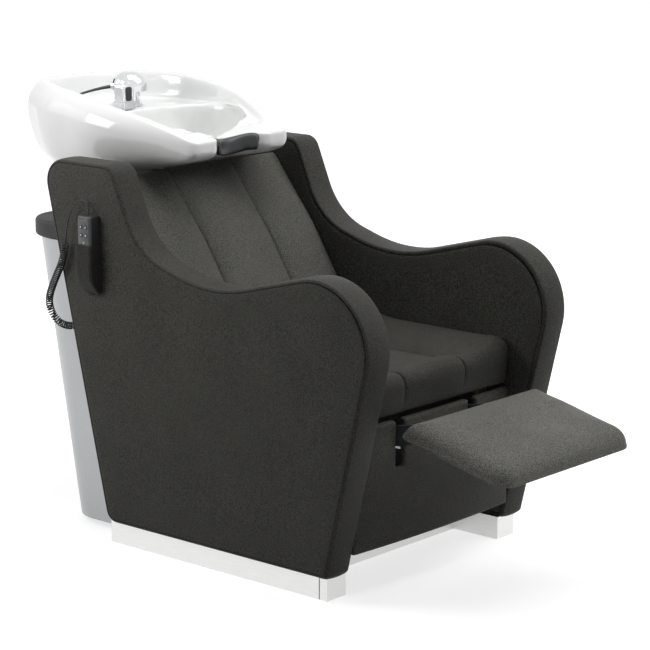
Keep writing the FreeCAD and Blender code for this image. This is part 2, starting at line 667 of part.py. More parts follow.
def add_footrest_arms():
    """Arms on a cross shaft, which turns in brackets under the seat board."""
    shaft_hole = ("0", "0", "shaft_radius + running_fit")
    arm_end = "(-board_rear - board_length * 0.7)"
    under = "board_rise"
    boss = "arm_boss - arm_edge"
    corners = [("-arm_boss", "-arm_boss", "arm_boss / 2"),
               ("-board_rear", f"{under} - arm_width", "arm_width"),
               (arm_end, f"{under} - arm_width / 2", "arm_tip"), (arm_end, under, "arm_edge"),
               ("-board_rear + arm_width", under, "arm_width"), ("arm_boss", "arm_boss", boss),
               ("arm_boss", "-arm_boss", boss)]
    arms, brackets = [], []
    for name, side in SIDES:
        start = on_side(side, f"{ARM} - arm_thickness / 2", f"{ARM} + arm_thickness / 2")[0]
        arms.append(footrest_frame(prism("YZ", start, "arm_thickness", corners, [shaft_hole])))
    node("footrest_arms", group(*arms))
    shaft_length = f"2 * {SHAFT_HALF}"
    shaft = rod("X", "shaft_radius", shaft_length, f"-{SHAFT_HALF}", f"-{PIVOT_Y}", "pivot_z")
    node("footrest_shaft", shaft)
    plate_low = "seat_board_level - bracket_plate"
    front, rear = f"-{PIVOT_Y} - bracket_drop", f"-{PIVOT_Y} + bracket_drop"
    low = "pivot_z - bracket_drop"
    corners = [(front, plate_low, "0"), (front, low, "arm_boss"), (rear, low, "arm_boss"),
               (rear, plate_low, "0")]
    hole = (f"-{PIVOT_Y}", "pivot_z", "shaft_radius + running_fit")
    for name, side in SIDES:
        start = on_side(side, BRACKET, f"{BRACKET} + bracket_thickness")[0]
        x = on_side(side, BRACKET, f"{BRACKET} + bracket_flange")
        y = (f"-{PIVOT_Y} - bracket_flange / 2", f"-{PIVOT_Y} + bracket_flange / 2")
        plate = box(x, y, (plate_low, "seat_board_level"))
        brackets.append(fuse(prism("YZ", start, "bracket_thickness", corners, [hole]), plate))
    node("pivot_brackets", group(*brackets))


PIN_Y = f"(-{PIVOT_Y} - crank_length * sin(crank_lead))"
PIN_Z = "(pivot_z - crank_length * cos(crank_lead))"
ROD_Z = "(pivot_z - crank_length * (1 + cos(crank_lead)) / 2)"
ROD_FRONT = f"({PIN_Y} + fork_tail)"


def add_crank():
    """Crank on the shaft, with its pin in the slotted fork of the actuator's rod."""
    wide = "crank_half_width"
    boss = "arm_boss - arm_edge"
    tip = f"-crank_length - {wide}"
    corners = [("-arm_boss", "arm_boss", boss), (f"-{wide}", tip, f"{wide} - crank_flat"),
               (wide, tip, f"{wide} - crank_flat"), ("arm_boss", "arm_boss", boss)]
    crank = prism("YZ", "-crank_thickness / 2", "crank_thickness", corners,
                  [("0", "0", "shaft_radius + running_fit")])
    reach = "(fork_half_width + running_fit)"
    pin = rod("X", "pin_radius", f"2 * {reach}", f"-{reach}", PIN_Y, PIN_Z)
    node("footrest_crank", fuse(tilt(crank, f"-{PIVOT_Y}", "pivot_z", "-crank_lead"), pin))


def add_actuator():
    """Linear actuator on a cross beam: tube with gearbox, motor, and a rod with a slotted fork."""
    fork = box(("-fork_half_width", "fork_half_width"), (f"{PIN_Y} - fork_nose", ROD_FRONT),
               (f"{ROD_Z} - fork_height / 2", f"{ROD_Z} + fork_height / 2"))
    gap = "(crank_thickness / 2 + fork_gap)"
    throat = box((f"-{gap}", gap), (f"{PIN_Y} - 2 * fork_nose", f"{PIN_Y} + fork_tail * 0.8"),
                 (f"{ROD_Z} - fork_height", f"{ROD_Z} + fork_height"))
    slot_half = "(pin_radius + slot_clearance)"
    low = f"pivot_z - crank_length - {slot_half}"
    high = f"{PIN_Z} + {slot_half}"
    front, rear = f"{PIN_Y} - {slot_half}", f"{PIN_Y} + {slot_half}"
    slot = prism("YZ", "-2 * fork_half_width", "4 * fork_half_width", [
        (front, low, "slot_corner"), (rear, low, "slot_corner"), (rear, high, "slot_corner"),
        (front, high, "slot_corner")])
    push_rod = rod("Y", "rod_radius", "rod_length", "0", f"{ROD_FRONT} - fork_lap", ROD_Z)
    node("actuator_rod", fuse(cut(fork, throat, slot), push_rod))
    barrel = rod("Y", "tube_radius", "tube_length", "0", f"-{TUBE_FRONT}", ROD_Z)
    tube_rear = f"(tube_length - {TUBE_FRONT})"
    gearbox = box(("-gearbox_half", "gearbox_half"), (tube_rear, f"{tube_rear} + gearbox_length"),
                  (f"{ROD_Z} - tube_radius - 2 * motor_radius", f"{ROD_Z} + gearbox_half"))
    bore = rod("Y", "rod_radius + running_fit", "tube_length - bore_end", "0", f"-{TUBE_FRONT}", ROD_Z)
    node("actuator_housing", cut(fuse(barrel, gearbox), bore))
    motor_z = f"{ROD_Z} - tube_radius - motor_radius"
    node("actuator_motor", rod("Y", "motor_radius - motor_gap", "motor_length", "0",
                               f"{tube_rear} - motor_length", motor_z))
    beam_top = f"{ROD_Z} - tube_radius"
    beam_front = f"-{TUBE_FRONT} + beam_setback"
    node("actuator_beam", box((f"-{INNER}", INNER), (beam_front, f"{beam_front} + beam_depth"),
                              (f"{beam_top} - beam_height", beam_top)))
    node("control_box", box((f"-{INNER}", f"-{INNER} + control_depth"),
                            ("control_y", "control_y + control_length"),
                            ("control_z", "control_z + control_height")))


def add_rear():
    """Rear shelf, the shell below it, and the stays that the shell is screwed to."""
    reach = f"({INNER} - soft_gap)"
    slab = prism("XY", "shelf_bottom", "shelf_thickness", [
        (f"-{reach}", "shelf_front", "shelf_front_corner"), (reach, "shelf_front", "shelf_front_corner"),
        (reach, "shelf_rear", "shelf_corner"), (f"-{reach}", "shelf_rear", "shelf_corner")])
    low, high = on_plane("Z", "shelf_bottom"), on_plane("Z", SHELF_TOP)
    slab = rounded(slab, "shelf_edge", lambda edge: low(edge) or high(edge))
    notch = box(("-shelf_notch", "shelf_notch"), ("shelf_front - shelf_edge", "drain_y + shelf_notch"),
                ("shelf_bottom - shelf_edge", f"{SHELF_TOP} + shelf_edge"))
    node("rear_shelf", cut(slab, notch))
    cover_reach = f"({PLINTH_INNER} - soft_gap)"
    outside = cover_loft(cover_reach, "0", "0")
    inside = cover_loft(f"({cover_reach} - cover_wall)", "cover_wall", "4 * cover_wall")
    slope = "((cover_rear_high - cover_rear_low) / (shelf_bottom - cover_low))"
    z = "stay_level + stay_height / 2"
    wall_y = f"(cover_rear_low + {slope} * ({z} - cover_low))"
    lean = f"{slope} * stay_height / 2"
    inner_y = f"{wall_y} - cover_wall - stay_gap"
    post_rear = "post_front + post_depth"
    top = "stay_level + stay_height"
    corners = [(post_rear, "stay_level", "0"), (f"{inner_y} - {lean}", "stay_level", "0"),
               (f"{inner_y} + {lean}", top, "0"), (post_rear, top, "0")]
    screws, openings, stays = [], [], []
    for name, side in SIDES:
        start = on_side(side, POST_HALF, f"{POST_HALF} + stay_width")[0]
        x = f"{side} * ({POST_HALF} + stay_width / 2)"
        bore = rod("Y", "screw_radius + bolt_clearance", "screw_length + screw_room", x,
                   f"{wall_y} - screw_length - screw_room / 2", z)
        stays.append(cut(prism("YZ", start, "stay_width", corners), bore))
        openings += [bore, rod("Y", "screw_head + bolt_clearance", "screw_length", x, wall_y, z)]
        screws.append(fuse(rod("Y", "screw_radius", "screw_length", x, f"{wall_y} - screw_length", z),
                           rod("Y", "screw_head", "screw_head_height", x, wall_y, z)))
    node("cover_stays", group(*stays))
    node("rear_cover", cut(cut(outside, inside), *openings))
    node("cover_screws", group(*screws))


def cover_loft(reach, wall, over):
    """Block of the rear cover's outside or inside, from its foot up to the shelf."""
    sketches = []
    for level, front, rear in (("cover_low", "cover_front_low", "cover_rear_low"),
                               ("shelf_bottom", "cover_front_high", "cover_rear_high")):
        sketch = doc.addObject("Sketcher::SketchObject", "cover_plan")
        bind(sketch, "Placement.Base.z", level)
        corner = f"cover_corner - {wall}"
        draw_outline(sketch, [(f"-{reach}", f"{front} - {over}", "cover_edge"),
                              (reach, f"{front} - {over}", "cover_edge"),
                              (reach, f"{rear} - {wall}", corner),
                              (f"-{reach}", f"{rear} - {wall}", corner)])
        sketches.append(sketch)
    loft = doc.addObject("Part::Loft", "cover_block")
    loft.Sections = sketches
    loft.Solid = True
    loft.Ruled = True
    return loft


def plan_section(corners, z):
    """Smooth closed wire in plan through (x, y, radius) corners, from the middle of its front."""
    count = 40
    fine = section(0, corners).discretize(Number=60 * count)
    start = min(range(len(fine)), key=lambda i: 10 * fine[i].z + abs(fine[i].y))
    fine = fine[start:-1] + fine[:start]
    points = [Vector(fine[i].y, fine[i].z, z) for i in range(0, len(fine), len(fine) // count)][:count]
    curve = Part.BSplineCurve()
    curve.interpolate(points, PeriodicFlag=True)
    return Part.Wire([curve.toShape()])


def oval_plan(half, front, rear, corner, z):
    return plan_section([(half, front, corner), (half, rear, corner), (-half, rear, corner),
                         (-half, front, corner)], z)


def basin_half(margin):
    """Half width of the basin where it keeps a margin inside the panels."""
    return number(f"{INNER} - {margin}")


def rim_plan(z, grow, front, front_half):
    """Plan of the basin at a height, grown past the rim at its sides and rear."""
    half = [(front_half, front, number("rim_corner")),
            (basin_half("side_margin") + grow, number("rim_side_y"), number("rim_side_radius")),
            (basin_half("mid_margin") + grow, number("rim_mid_y") + grow / 3, number("rim_mid_radius")),
            (basin_half("rear_margin") + grow / 2, number("rim_rear") + grow, number("rim_rear_radius"))]
    return plan_section(half + [(-x, y, radius) for x, y, radius in reversed(half)], z)


def rim_cap():
    """Block above the basin's rim, whose underside follows the rim's long arc from front to rear."""
    points = [Vector(0, number("rim_front"), number("rim_front_z")),
              Vector(0, number("rim_side_y"), number("rim_side_z")),
              Vector(0, number("rim_rear"), number("rim_rear_z"))]
    arc = Part.Arc(*points).toShape()
    reach = basin_half("side_margin")
    lead = points[0] - arc.tangentAt(arc.FirstParameter).normalize() * reach
    tail = points[2] + arc.tangentAt(arc.LastParameter).normalize() * reach
    roof = number("rim_rear_z") + reach
    around = [points[2], tail, Vector(0, tail.y, roof), Vector(0, lead.y, roof), lead, points[0]]
    edges = [arc] + [Part.LineSegment(a, b).toShape() for a, b in zip(around, around[1:])]
    face = Part.Face(Part.Wire(edges))
    width = number("outer_width")
    face.translate(Vector(-width / 2, 0, 0))
    return face.extrude(Vector(width, 0, 0))


def basin_form(shrink):
    """Outer form of the basin, drawn in by a wall: bulged above a flat foot, its lip over the back."""
    bulge = number("bulge")
    bottom = number("bowl_bottom") - shrink
    chest = number("chest_front") + shrink
    chest_level = number("chest_level") + shrink / 2
    rise = number("lip_rise")
    front = number("rim_front") + shrink
    half = basin_half("lobe_margin") - shrink
    belly = number("rim_side_z - belly_drop")
    foot_half = basin_half("foot_margin") - shrink
    wires = [
        oval_plan(foot_half, chest, number("foot_rear_y") - shrink, foot_half * 0.7, bottom),
        rim_plan(chest_level - rise, -bulge * 0.9 - shrink, chest, half * 0.66),
        rim_plan(chest_level, -bulge * 0.1 - shrink, chest - rise / 4, half * 0.74),
        rim_plan(chest_level + rise * 0.7, bulge * 0.35 - shrink, (chest + front) / 2 + rise, half * 0.86),
        rim_plan(chest_level + rise * 1.5, bulge * 0.6 - shrink, front + 2 * rise, half * 0.94),
        rim_plan(chest_level + rise * 2.3, bulge * 0.8 - shrink, front + rise / 2, half * 0.98),
        rim_plan(chest_level + rise * 3.2, bulge * 0.95 - shrink, front + 2, half),
        rim_plan(belly, bulge - shrink, front, half),
        rim_plan(belly + rise, bulge * 0.8 - shrink, front, half),
        rim_plan(belly + 2 * rise, bulge * 0.4 - shrink, front, half),
        rim_plan(belly + 3 * rise, -shrink, front, half),
        rim_plan(belly + 5 * rise, -shrink, front, half)]
    return Part.makeLoft(wires, True, True)


def bowl_form():
    """Inside of the bowl."""
    deck = number("deck_level")
    floor = number("bowl_floor")
    front = number("bowl_front")
    rear = number("deck_front")
    half = basin_half("bowl_margin")
    middle = number("drain_y")
    foot = 2 * number("drain_radius")
    flare = number("bowl_flare")
    depth = deck - floor
    return Part.makeLoft([
        oval_plan(1.5 * foot, middle - foot, middle + foot, foot * 0.8, floor),
        oval_plan(half * 0.75, middle - foot * 1.6, rear - number("bowl_heel"), foot, floor + depth * 0.17),
        oval_plan(half * 0.93, (front + middle - foot) / 2, rear - number("bowl_lean"), 1.5 * foot,
                  floor + depth * 0.5),
        oval_plan(half, front + number("bowl_shoulder"), rear, 2.1 * foot, floor + depth * 0.9),
        oval_plan(half + flare, front, rear + flare, 2.1 * foot, deck + foot)], True, False)


def deck_space():
    """Space above the tap deck, inside the rim."""
    wall = number("rim_wall")
    front = number("bowl_front") - wall / 2
    half = basin_half("lobe_margin") - wall
    ease = number("deck_ease")
    levels = [(number("deck_level"), 3 * ease), (number("rim_side_z"), ease),
              (number("rim_rear_z") + 2 * wall, 0)]
    return Part.makeLoft([rim_plan(level, -wall - draw, front, half) for level, draw in levels], True, False)


def add_basin():
    """Glazed basin, hollow underneath: bowl, tap deck, neck notch and recess, and drain."""
    bottom = number("bowl_bottom")
    wall = number("glaze_wall")
    notch_radius = number("notch_radius")
    start = number("rim_front") - notch_radius
    length = number("bowl_front") + notch_radius - start
    notch = Part.makeCylinder(notch_radius, length, Vector(0, start, number(NOTCH_CENTRE)), Y_AXIS)
    corner = Vector(-notch_radius, start, number(NOTCH_CENTRE))
    notch = notch.fuse(Part.makeBox(2 * notch_radius, length, 2 * notch_radius, corner))
    recess = Part.makeCylinder(number("recess_radius"), number("rim_rear_z") - bottom,
                               Vector(0, number(RECESS_Y), bottom))
    drain = Part.makeCylinder(number("drain_radius"), 4 * wall, Vector(0, number("drain_y"), bottom - wall))
    tap = Vector(number("mixer_x"), number("mixer_y"), bottom)
    tap_hole = Part.makeCylinder(number("tap_hole_radius"), 2 * (number("deck_level") - bottom), tap)
    foot = Part.makeBox(2 * number("saddle_half"), number("saddle_rear - chest_front"), 2 * wall,
                        Vector(-number("saddle_half"), number("chest_front"), bottom))
    width = number("outer_width")
    behind = Part.makeBox(width, number("rim_rear"), number("deck_level - void_drop") - bottom + wall,
                          Vector(-width / 2, number("deck_front + void_wall"), bottom - wall))
    void = basin_form(wall).common(behind).cut(foot)
    shape = basin_form(0).cut(rim_cap()).cut(deck_space()).cut(bowl_form()).cut(notch)
    shape = shape.cut(recess).cut(void).cut(drain).cut(tap_hole)
    basin = doc.addObject("Part::Feature", "basin")
    basin.Shape = shape
    node("basin", basin)
    print("basin", round(shape.Volume / 1e6, 2), "litres, valid", shape.isValid())


def add_neck_rest():
    """Soft band round the neck recess, with a lap over the notch in the rim."""
    floor = f"({NOTCH_CENTRE} - notch_radius)"
    top = f"({floor} + lap_thickness)"
    low = f"({top} - neck_height)"
    band = rod("Z", "recess_radius - soft_gap", "neck_height", "0", RECESS_Y, low)
    hollow = rod("Z", "recess_radius - neck_thickness", "neck_height", "0", RECESS_Y, low)
    front = box(("-recess_radius", "recess_radius"),
                (f"{RECESS_Y} - recess_radius", f"{RECESS_Y} + neck_ends"), (low, top))
    start = f"({RECESS_Y} + recess_radius - neck_thickness)"
    length = "(neck_thickness + neck_lap)"
    outer = rod("Y", "notch_radius - soft_gap", length, "0", start, NOTCH_CENTRE)
    inner = rod("Y", "notch_radius - lap_thickness", length, "0", start, NOTCH_CENTRE)
    above = box(("-notch_radius", "notch_radius"), (start, f"{start} + {length}"),
                ("rim_front_z + neck_rise", f"{NOTCH_CENTRE} + notch_radius"))
    node("neck_rest", fuse(cut(band, hollow, front), cut(outer, inner, above)))


def pivot_ear(side, place, corners, hole):
    start = on_side(side, place, f"{place} + ear_thickness")[0]
    return prism("YZ", start, "ear_thickness", corners, [("tilt_y", "tilt_z", hole)])


def add_tilt():
    """Pedestal on the shelf, saddle under the basin, and the shaft that joins their ears."""
    plate = box(("-pedestal_half", "pedestal_half"), ("pedestal_front", "pedestal_rear"),
                (SHELF_TOP, f"{SHELF_TOP} + pedestal_plate"))
    front, rear = "tilt_y - ear_half", "tilt_y + ear_half"
    top = "tilt_z + ear_half"
    crown = "ear_half - ear_flat"
    corners = [(rear, SHELF_TOP, "0"), (rear, top, crown), (front, top, crown), (front, SHELF_TOP, "0")]
    running = "tilt_shaft_radius + running_fit"
    ears = [pivot_ear(side, "ear_place", corners, running) for name, side in SIDES]
    node("basin_pedestal", fuse(plate, *ears))
    plate = box(("-saddle_half", "saddle_half"), ("saddle_front", "saddle_rear"),
                ("bowl_bottom - saddle_plate", "bowl_bottom"))
    drop = "(tilt_shaft_radius + ear_drop)"
    low = f"tilt_z - {drop}"
    corners = [(front, "bowl_bottom", "0"), (front, low, drop), (rear, low, drop),
               (rear, "bowl_bottom", "0")]
    ears = [pivot_ear(side, "ear_place - ear_thickness - ear_gap", corners, running) for name, side in SIDES]
    node("basin_saddle", fuse(plate, *ears))
    reach = "(ear_place + ear_thickness)"
    node("tilt_shaft", rod("X", "tilt_shaft_radius", f"2 * {reach}", f"-{reach}", "tilt_y", "tilt_z"))


def add_waste():
    """Drain flange with its grate and tail, the nut below the bowl, and the pipe with its loose cuff."""
    axis = ("0", "drain_y")
    tail_low = "bowl_bottom - tail_drop"
    flange = rod("Z", "flange_radius", "flange_thickness", *axis, "bowl_floor")
    tail = rod("Z", "tail_radius", f"bowl_floor + flange_thickness - ({tail_low})", *axis, tail_low)
    bore = rod("Z", "tail_bore", "2 * tail_drop + flange_thickness", *axis, tail_low)
    reach = "(tail_bore + grate_lap)"
    z = ("bowl_floor - grate_bar", "bowl_floor + flange_thickness / 2")
    bars = [box((f"-{reach}", reach), ("drain_y - grate_bar / 2", "drain_y + grate_bar / 2"), z),
            box(("-grate_bar / 2", "grate_bar / 2"), (f"drain_y - {reach}", f"drain_y + {reach}"), z)]
    node("waste_fitting", fuse(cut(fuse(flange, tail), bore), *bars))
    nut_low = "bowl_bottom - nut_height"
    nut = rod("Z", "nut_radius", "nut_height", *axis, nut_low)
    node("waste_nut", cut(nut, rod("Z", "tail_radius + running_fit", "nut_height", *axis, nut_low)))
    taper_low = "(pipe_bottom + spigot_length)"
    pipe_low = f"({taper_low} + spigot_taper)"
    length = f"{PIPE_TOP} - {pipe_low}"
    cuff_low = f"{PIPE_TOP} - cuff_height"
    spigot = rod("Z", "spigot_radius", "spigot_length", *axis, "pipe_bottom")
    taper = cone("spigot_radius", "pipe_radius", "spigot_taper", *axis, taper_low)
    pipe = rod("Z", "pipe_radius", length, *axis, pipe_low)
    cuff = rod("Z", "cuff_radius", "cuff_height", *axis, cuff_low)
    outlet = rod("Z", "spigot_radius - pipe_wall", "2 * spigot_length", *axis, "pipe_bottom")
    bore = rod("Z", "pipe_radius - pipe_wall", length, *axis, pipe_low)
    mouth = rod("Z", "cuff_radius - pipe_wall", "cuff_height", *axis, f"{cuff_low} + pipe_wall")
    node("waste_pipe", cut(fuse(spigot, taper, pipe, cuff), outlet, bore, mouth))


def on_tap(body):
    """Lever pieces are drawn along +Y from the mixer's axis, and turn about it."""
    body.Placement = Placement(Vector(), Rotation(Z_AXIS, 1))
    bind(body, "Placement.Rotation.Angle", "blade_heading")
    place(body, "mixer_x", "mixer_y", "0")
    return body


def lever_pin(size):
    """Round pin through the lever, across its length."""
    half = "(blade_width * 1.2)"
    corner = f"{size} - pin_flat"
    return on_tap(prism("YZ", f"-{half}", f"2 * {half}", [
        (f"blade_pin_place - {size}", f"blade_level - {size}", corner),
        (f"blade_pin_place + {size}", f"blade_level - {size}", corner),
        (f"blade_pin_place + {size}", f"blade_level + {size}", corner),
        (f"blade_pin_place - {size}", f"blade_level + {size}", corner)]))


def add_mixer():
    """Mixer on the deck: column with its shank, a cap that turns, and a lever hinged in the cap."""
    axis = ("mixer_x", "mixer_y")
    column = rod("Z", "column_radius", "column_height", *axis, "deck_level")
    foot = rod("Z", "column_foot", "foot_height", *axis, "deck_level")
    shank = rod("Z", "tap_hole_radius - dock_clearance", "shank_length + foot_height", *axis,
                "deck_level - shank_length")
    node("mixer_body", fuse(column, foot, shank))
    cap_low = "(deck_level + column_height + cap_gap)"
    cap = rod("Z", "cap_radius", "cap_height", *axis, cap_low)
    cap = rounded(cap, "cap_edge", on_plane("Z", f"{cap_low} + cap_height"))
    play = "(blade_width / 2 + blade_play)"
    room = "(blade_thickness / 2 + lift_room)"
    inside = "blade_root - blade_play - lift_room / 4"
    outside = "cap_radius + cap_gap"
    slot = on_tap(prism("XY", f"blade_level - {room}", f"2 * {room}", [
        (f"-{play}", inside, "0"), (play, inside, "0"), (play, outside, "0"), (f"-{play}", outside, "0")]))
    node("mixer_cap", cut(cap, slot, lever_pin("(blade_pin + running_fit)")))
    half = "blade_thickness / 2"
    middle = f"(blade_root + {BLADE_REACH}) / 2"
    blade = on_tap(prism("YZ", "-blade_width / 2", "blade_width", [
        ("blade_root", f"blade_level - {half}", "blade_edge"),
        (middle, f"blade_level - {half} - blade_droop / 4", "blade_bend"),
        (BLADE_REACH, f"blade_level - {half} - blade_droop", "blade_tip"),
        (BLADE_REACH, "blade_level - blade_droop", "blade_tip"),
        (middle, f"blade_level + {half} - blade_droop / 5", "blade_bend"),
        ("blade_root", f"blade_level + {half}", "blade_edge")]))
    node("mixer_lever", fuse(blade, lever_pin("blade_pin")))


def centred(x, half_x, y, half_y, corner):
    """Rounded rectangle about a middle."""
    low_x, high_x = f"{x} - ({half_x})", f"{x} + {half_x}"
    low_y, high_y = f"{y} - ({half_y})", f"{y} + {half_y}"
    return [(low_x, low_y, corner), (high_x, low_y, corner), (high_x, high_y, corner),
            (low_x, high_y, corner)]


def add_hand_shower():
    """Dock on the deck, the hand shower that lifts out of it, and its spray plate."""
    room_x = "shower_half_x + dock_clearance"
    room_y = "shower_half_y + dock_clearance"
    outer = centred("dock_x", f"{room_x} + dock_wall", "dock_y", f"{room_y} + dock_wall",
                    "shower_edge + dock_wall")
    inner = centred("dock_x", room_x, "dock_y", room_y, "shower_edge")
    sleeve = prism("XY", "deck_level", "dock_height", outer)
    node("shower_dock", cut(sleeve, prism("XY", "deck_level + dock_wall", "dock_height", inner)))
    low = "deck_level + dock_wall + dock_clearance"
    plan = centred("dock_x", "shower_half_x", "dock_y", "shower_half_y", "shower_edge")
    body = prism("XY", low, "shower_height", plan)
    front = "dock_y - shower_half_y"
    plate = (("dock_x - spray_half_width", "dock_x + spray_half_width"),
             (front, f"{front} + spray_thickness"),
             (f"{low} + dock_height", f"{low} + dock_height + spray_height"))
    node("hand_shower", cut(body, box(*plate)))
    node("spray_plate", box(*plate))


HANDSET_FACE = "(-outer_width / 2 - pocket_slack - handset_depth)"
HANDSET_X = "(-outer_width / 2 - pocket_slack - handset_depth / 2)"


def add_handset():
    """Handset shell with its base, buttons and lamp, in a sewn pocket on the outer pad."""
    half_y = "handset_width / 2"
    body = prism("XY", "handset_bottom", "handset_height",
                 centred(HANDSET_X, "handset_depth / 2", "handset_y", half_y, "handset_edge"))
    room_x = "handset_depth / 2 - handset_wall - button_height"
    room_y = f"{half_y} - handset_wall"
    cavity = prism("XY", "handset_bottom", "handset_height - handset_wall",
                   centred(HANDSET_X, room_x, "handset_y", room_y, "handset_edge / 2"))
    base = prism("XY", "handset_bottom", "handset_wall",
                 centred(HANDSET_X, f"{room_x} - running_fit", "handset_y", f"{room_y} - running_fit",
                         "handset_edge / 2"))
    node("handset_base", base)
    wells = []
    for row_step in (0, 1):
        for column in (-1, 1):
            y = f"handset_y + {column} * button_pitch_y / 2"
            z = f"button_low + {row_step} * button_pitch_z"
            seat = f"{HANDSET_FACE} - button_proud"
            button = rod("X", "button_radius", "button_height", seat, y, z)
            node(f"handset_button_{len(wells) + 1}", button)
            wells.append(rod("X", "button_radius + button_fit", "button_height + button_travel", seat, y, z))
    lamp_at = (f"{HANDSET_FACE} - button_proud / 2", "handset_y", "lamp_level")
    node("handset_lamp", rod("X", "lamp_radius", "lamp_length", *lamp_at))
    lamp_seat = rod("X", "lamp_radius + running_fit", "lamp_length", *lamp_at)
    node("handset_shell", cut(body, cavity, lamp_seat, *wells))
    room_x = "(handset_depth / 2 + pocket_slack)"
    room_y = f"({half_y} + pocket_slack)"
    face = "-outer_width / 2"
    wall_x = f"{HANDSET_X} - {room_x} - pocket_wall"
    low_y = f"handset_y - {room_y} - pocket_wall"
    high_y = f"handset_y + {room_y} + pocket_wall"
    outside = prism("XY", "pocket_bottom", "pocket_top - pocket_bottom", [
        (wall_x, low_y, "pocket_edge"), (face, low_y, "0"), (face, high_y, "0"),
        (wall_x, high_y, "pocket_edge")])
    inner_x = f"{HANDSET_X} - {room_x}"
    inner_low, inner_high = f"handset_y - {room_y}", f"handset_y + {room_y}"
    mouth = "-outer_width / 2 + pocket_slack"
    inner_edge = "pocket_edge - pocket_wall"
    inside = prism("XY", "handset_bottom - pocket_slack", "pocket_top", [
        (inner_x, inner_low, inner_edge), (mouth, inner_low, "0"), (mouth, inner_high, "0"),
        (inner_x, inner_high, inner_edge)])
    front, rear = f"{low_y} - pocket_flange", f"{high_y} + pocket_flange"
    foot = "pocket_bottom - pocket_flange / 2"
    flange = prism("YZ", "-outer_width / 2 - flange_thick", "flange_thick", [
        (front, foot, "pocket_flange"), (rear, foot, "pocket_flange"), (rear, "pocket_top", "0"),
        (front, "pocket_top", "0")])
    node("handset_pocket", cut(fuse(outside, flange), inside))


# Route of the handset cord, with x from the panel's outer face: up out of the handset, over and down,
# then curled to the gland
LEAD_POINTS = [(-17.7, 334.6, 732), (-17.7, 334.6, 750), (-17.7, 346, 763), (-17.7, 363, 761),
               (-17.7, 383, 746), (-17.7, 397.5, 722), (-17.7, 404.5, 697), (-17.7, 408.5, 672)]
CURL_POINTS = [(-17.7, 408.5, 672), (-17.4, 413, 643), (-15, 427, 613), (-9, 449, 586), (-1, 472, 558),
               (8, 494, 529), (17, 502.5, 500.5), (25, 491, 474)]


def off_panel(points):
    """Route points with their x counted from the panel's outer face."""
    face = number("-outer_width / 2")
    return [Vector(face + x, y, z) for x, y, z in points]


def gland_frame():
    """Middle of the gland's outer end, and the direction out of the panel's sloping rear edge."""
    slope = number("(top_rear - foot_rear) / (panel_top - plinth_height)")
    out = Vector(0, 1, -slope).normalize()
    level = number("gland_level")
    seat = Vector(number("gland_inset - outer_width / 2"),
                  number("foot_rear") + slope * (level - number("plinth_height")), level)
    return seat, out


def rounded_path(points):
    """Straight runs joined by tangent arcs, each as large as its two runs allow."""
    edges, radii = [], []
    last = points[0]
    for before, point, after in zip(points, points[1:], points[2:]):
        come, leave = point - before, after - point
        half_turn = come.getAngle(leave) / 2
        reach = RUN_SHARE * min(come.Length, leave.Length)
        radii.append(reach / math.tan(half_turn))
        start = point - come.normalize() * reach
        end = point + leave.normalize() * reach
        bisector = ((start + end) / 2 - point).normalize()
        apex = radii[-1] / math.cos(half_turn) - radii[-1]
        edges.append(Part.LineSegment(last, start).toShape())
        edges.append(Part.Arc(start, point + bisector * apex, end).toShape())
        last = end
    edges.append(Part.LineSegment(last, points[-1]).toShape())
    return Part.Wire(edges), radii


def round_tube(wire, radius):
    """Round tube along a wire."""
    start = wire.Edges[0].Vertexes[0].Point
    heading = wire.Edges[0].tangentAt(wire.Edges[0].FirstParameter)
    profile = Part.Wire([Part.makeCircle(radius, start, heading)])
    return wire.makePipeShell([profile], True, False)


def curled_line(path):
    """Function of the length along a path that gives a point of the curl wound round it."""
    count = 1200
    points = path.discretize(Number=count)
    step = path.Length / (count - 1)
    side = (points[1] - points[0]).cross(X_AXIS).normalize()
    sides = []
    for i in range(count):
        heading = (points[min(i + 1, count - 1)] - points[max(i - 1, 0)]).normalize()
        side = (side - heading * side.dot(heading)).normalize()
        sides.append((side, heading.cross(side)))
    straight = number("cord_diameter")
    ramp = 2 * number("curl_pitch")

    def place_at(length):
        spot = min(max(length / step, 0), count - 1.001)
        i = int(spot)
        share = spot - i
        centre = points[i] * (1 - share) + points[i + 1] * share
        first = sides[i][0] * (1 - share) + sides[i + 1][0] * share
        second = sides[i][1] * (1 - share) + sides[i + 1][1] * share
        room = min(length, path.Length - length) - straight
        spread = min(max(room / ramp, 0), 1)
        radius = number("curl_radius") * spread * spread * (3 - 2 * spread)
        angle = 2 * math.pi * length / number("curl_pitch")
        return centre + first * (radius * math.cos(angle)) + second * (radius * math.sin(angle))

    return place_at


def biarc(start, heading, end, leaving):
    """Two tangent arcs between two points with given directions."""
    chord = end - start
    both = heading + leaving
    spare = 2 * (1 - heading.dot(leaving))
    lean = chord.dot(both)
    reach = (math.sqrt(lean * lean + spare * chord.dot(chord)) - lean) / spare
    first, second = start + heading * reach, end - leaving * reach
    middle = (first + second) / 2
    arcs = []
    for low, corner, high in ((start, first, middle), (middle, second, end)):
        centre = (low + high) / 2
        half = (high - low).Length / 2
        rise = corner - centre
        swing = math.atan2(rise.Length, half)
        crest = centre + rise.normalize() * (half * math.tan(swing / 2))
        arcs.append(Part.Arc(low, crest, high).toShape())
    return arcs


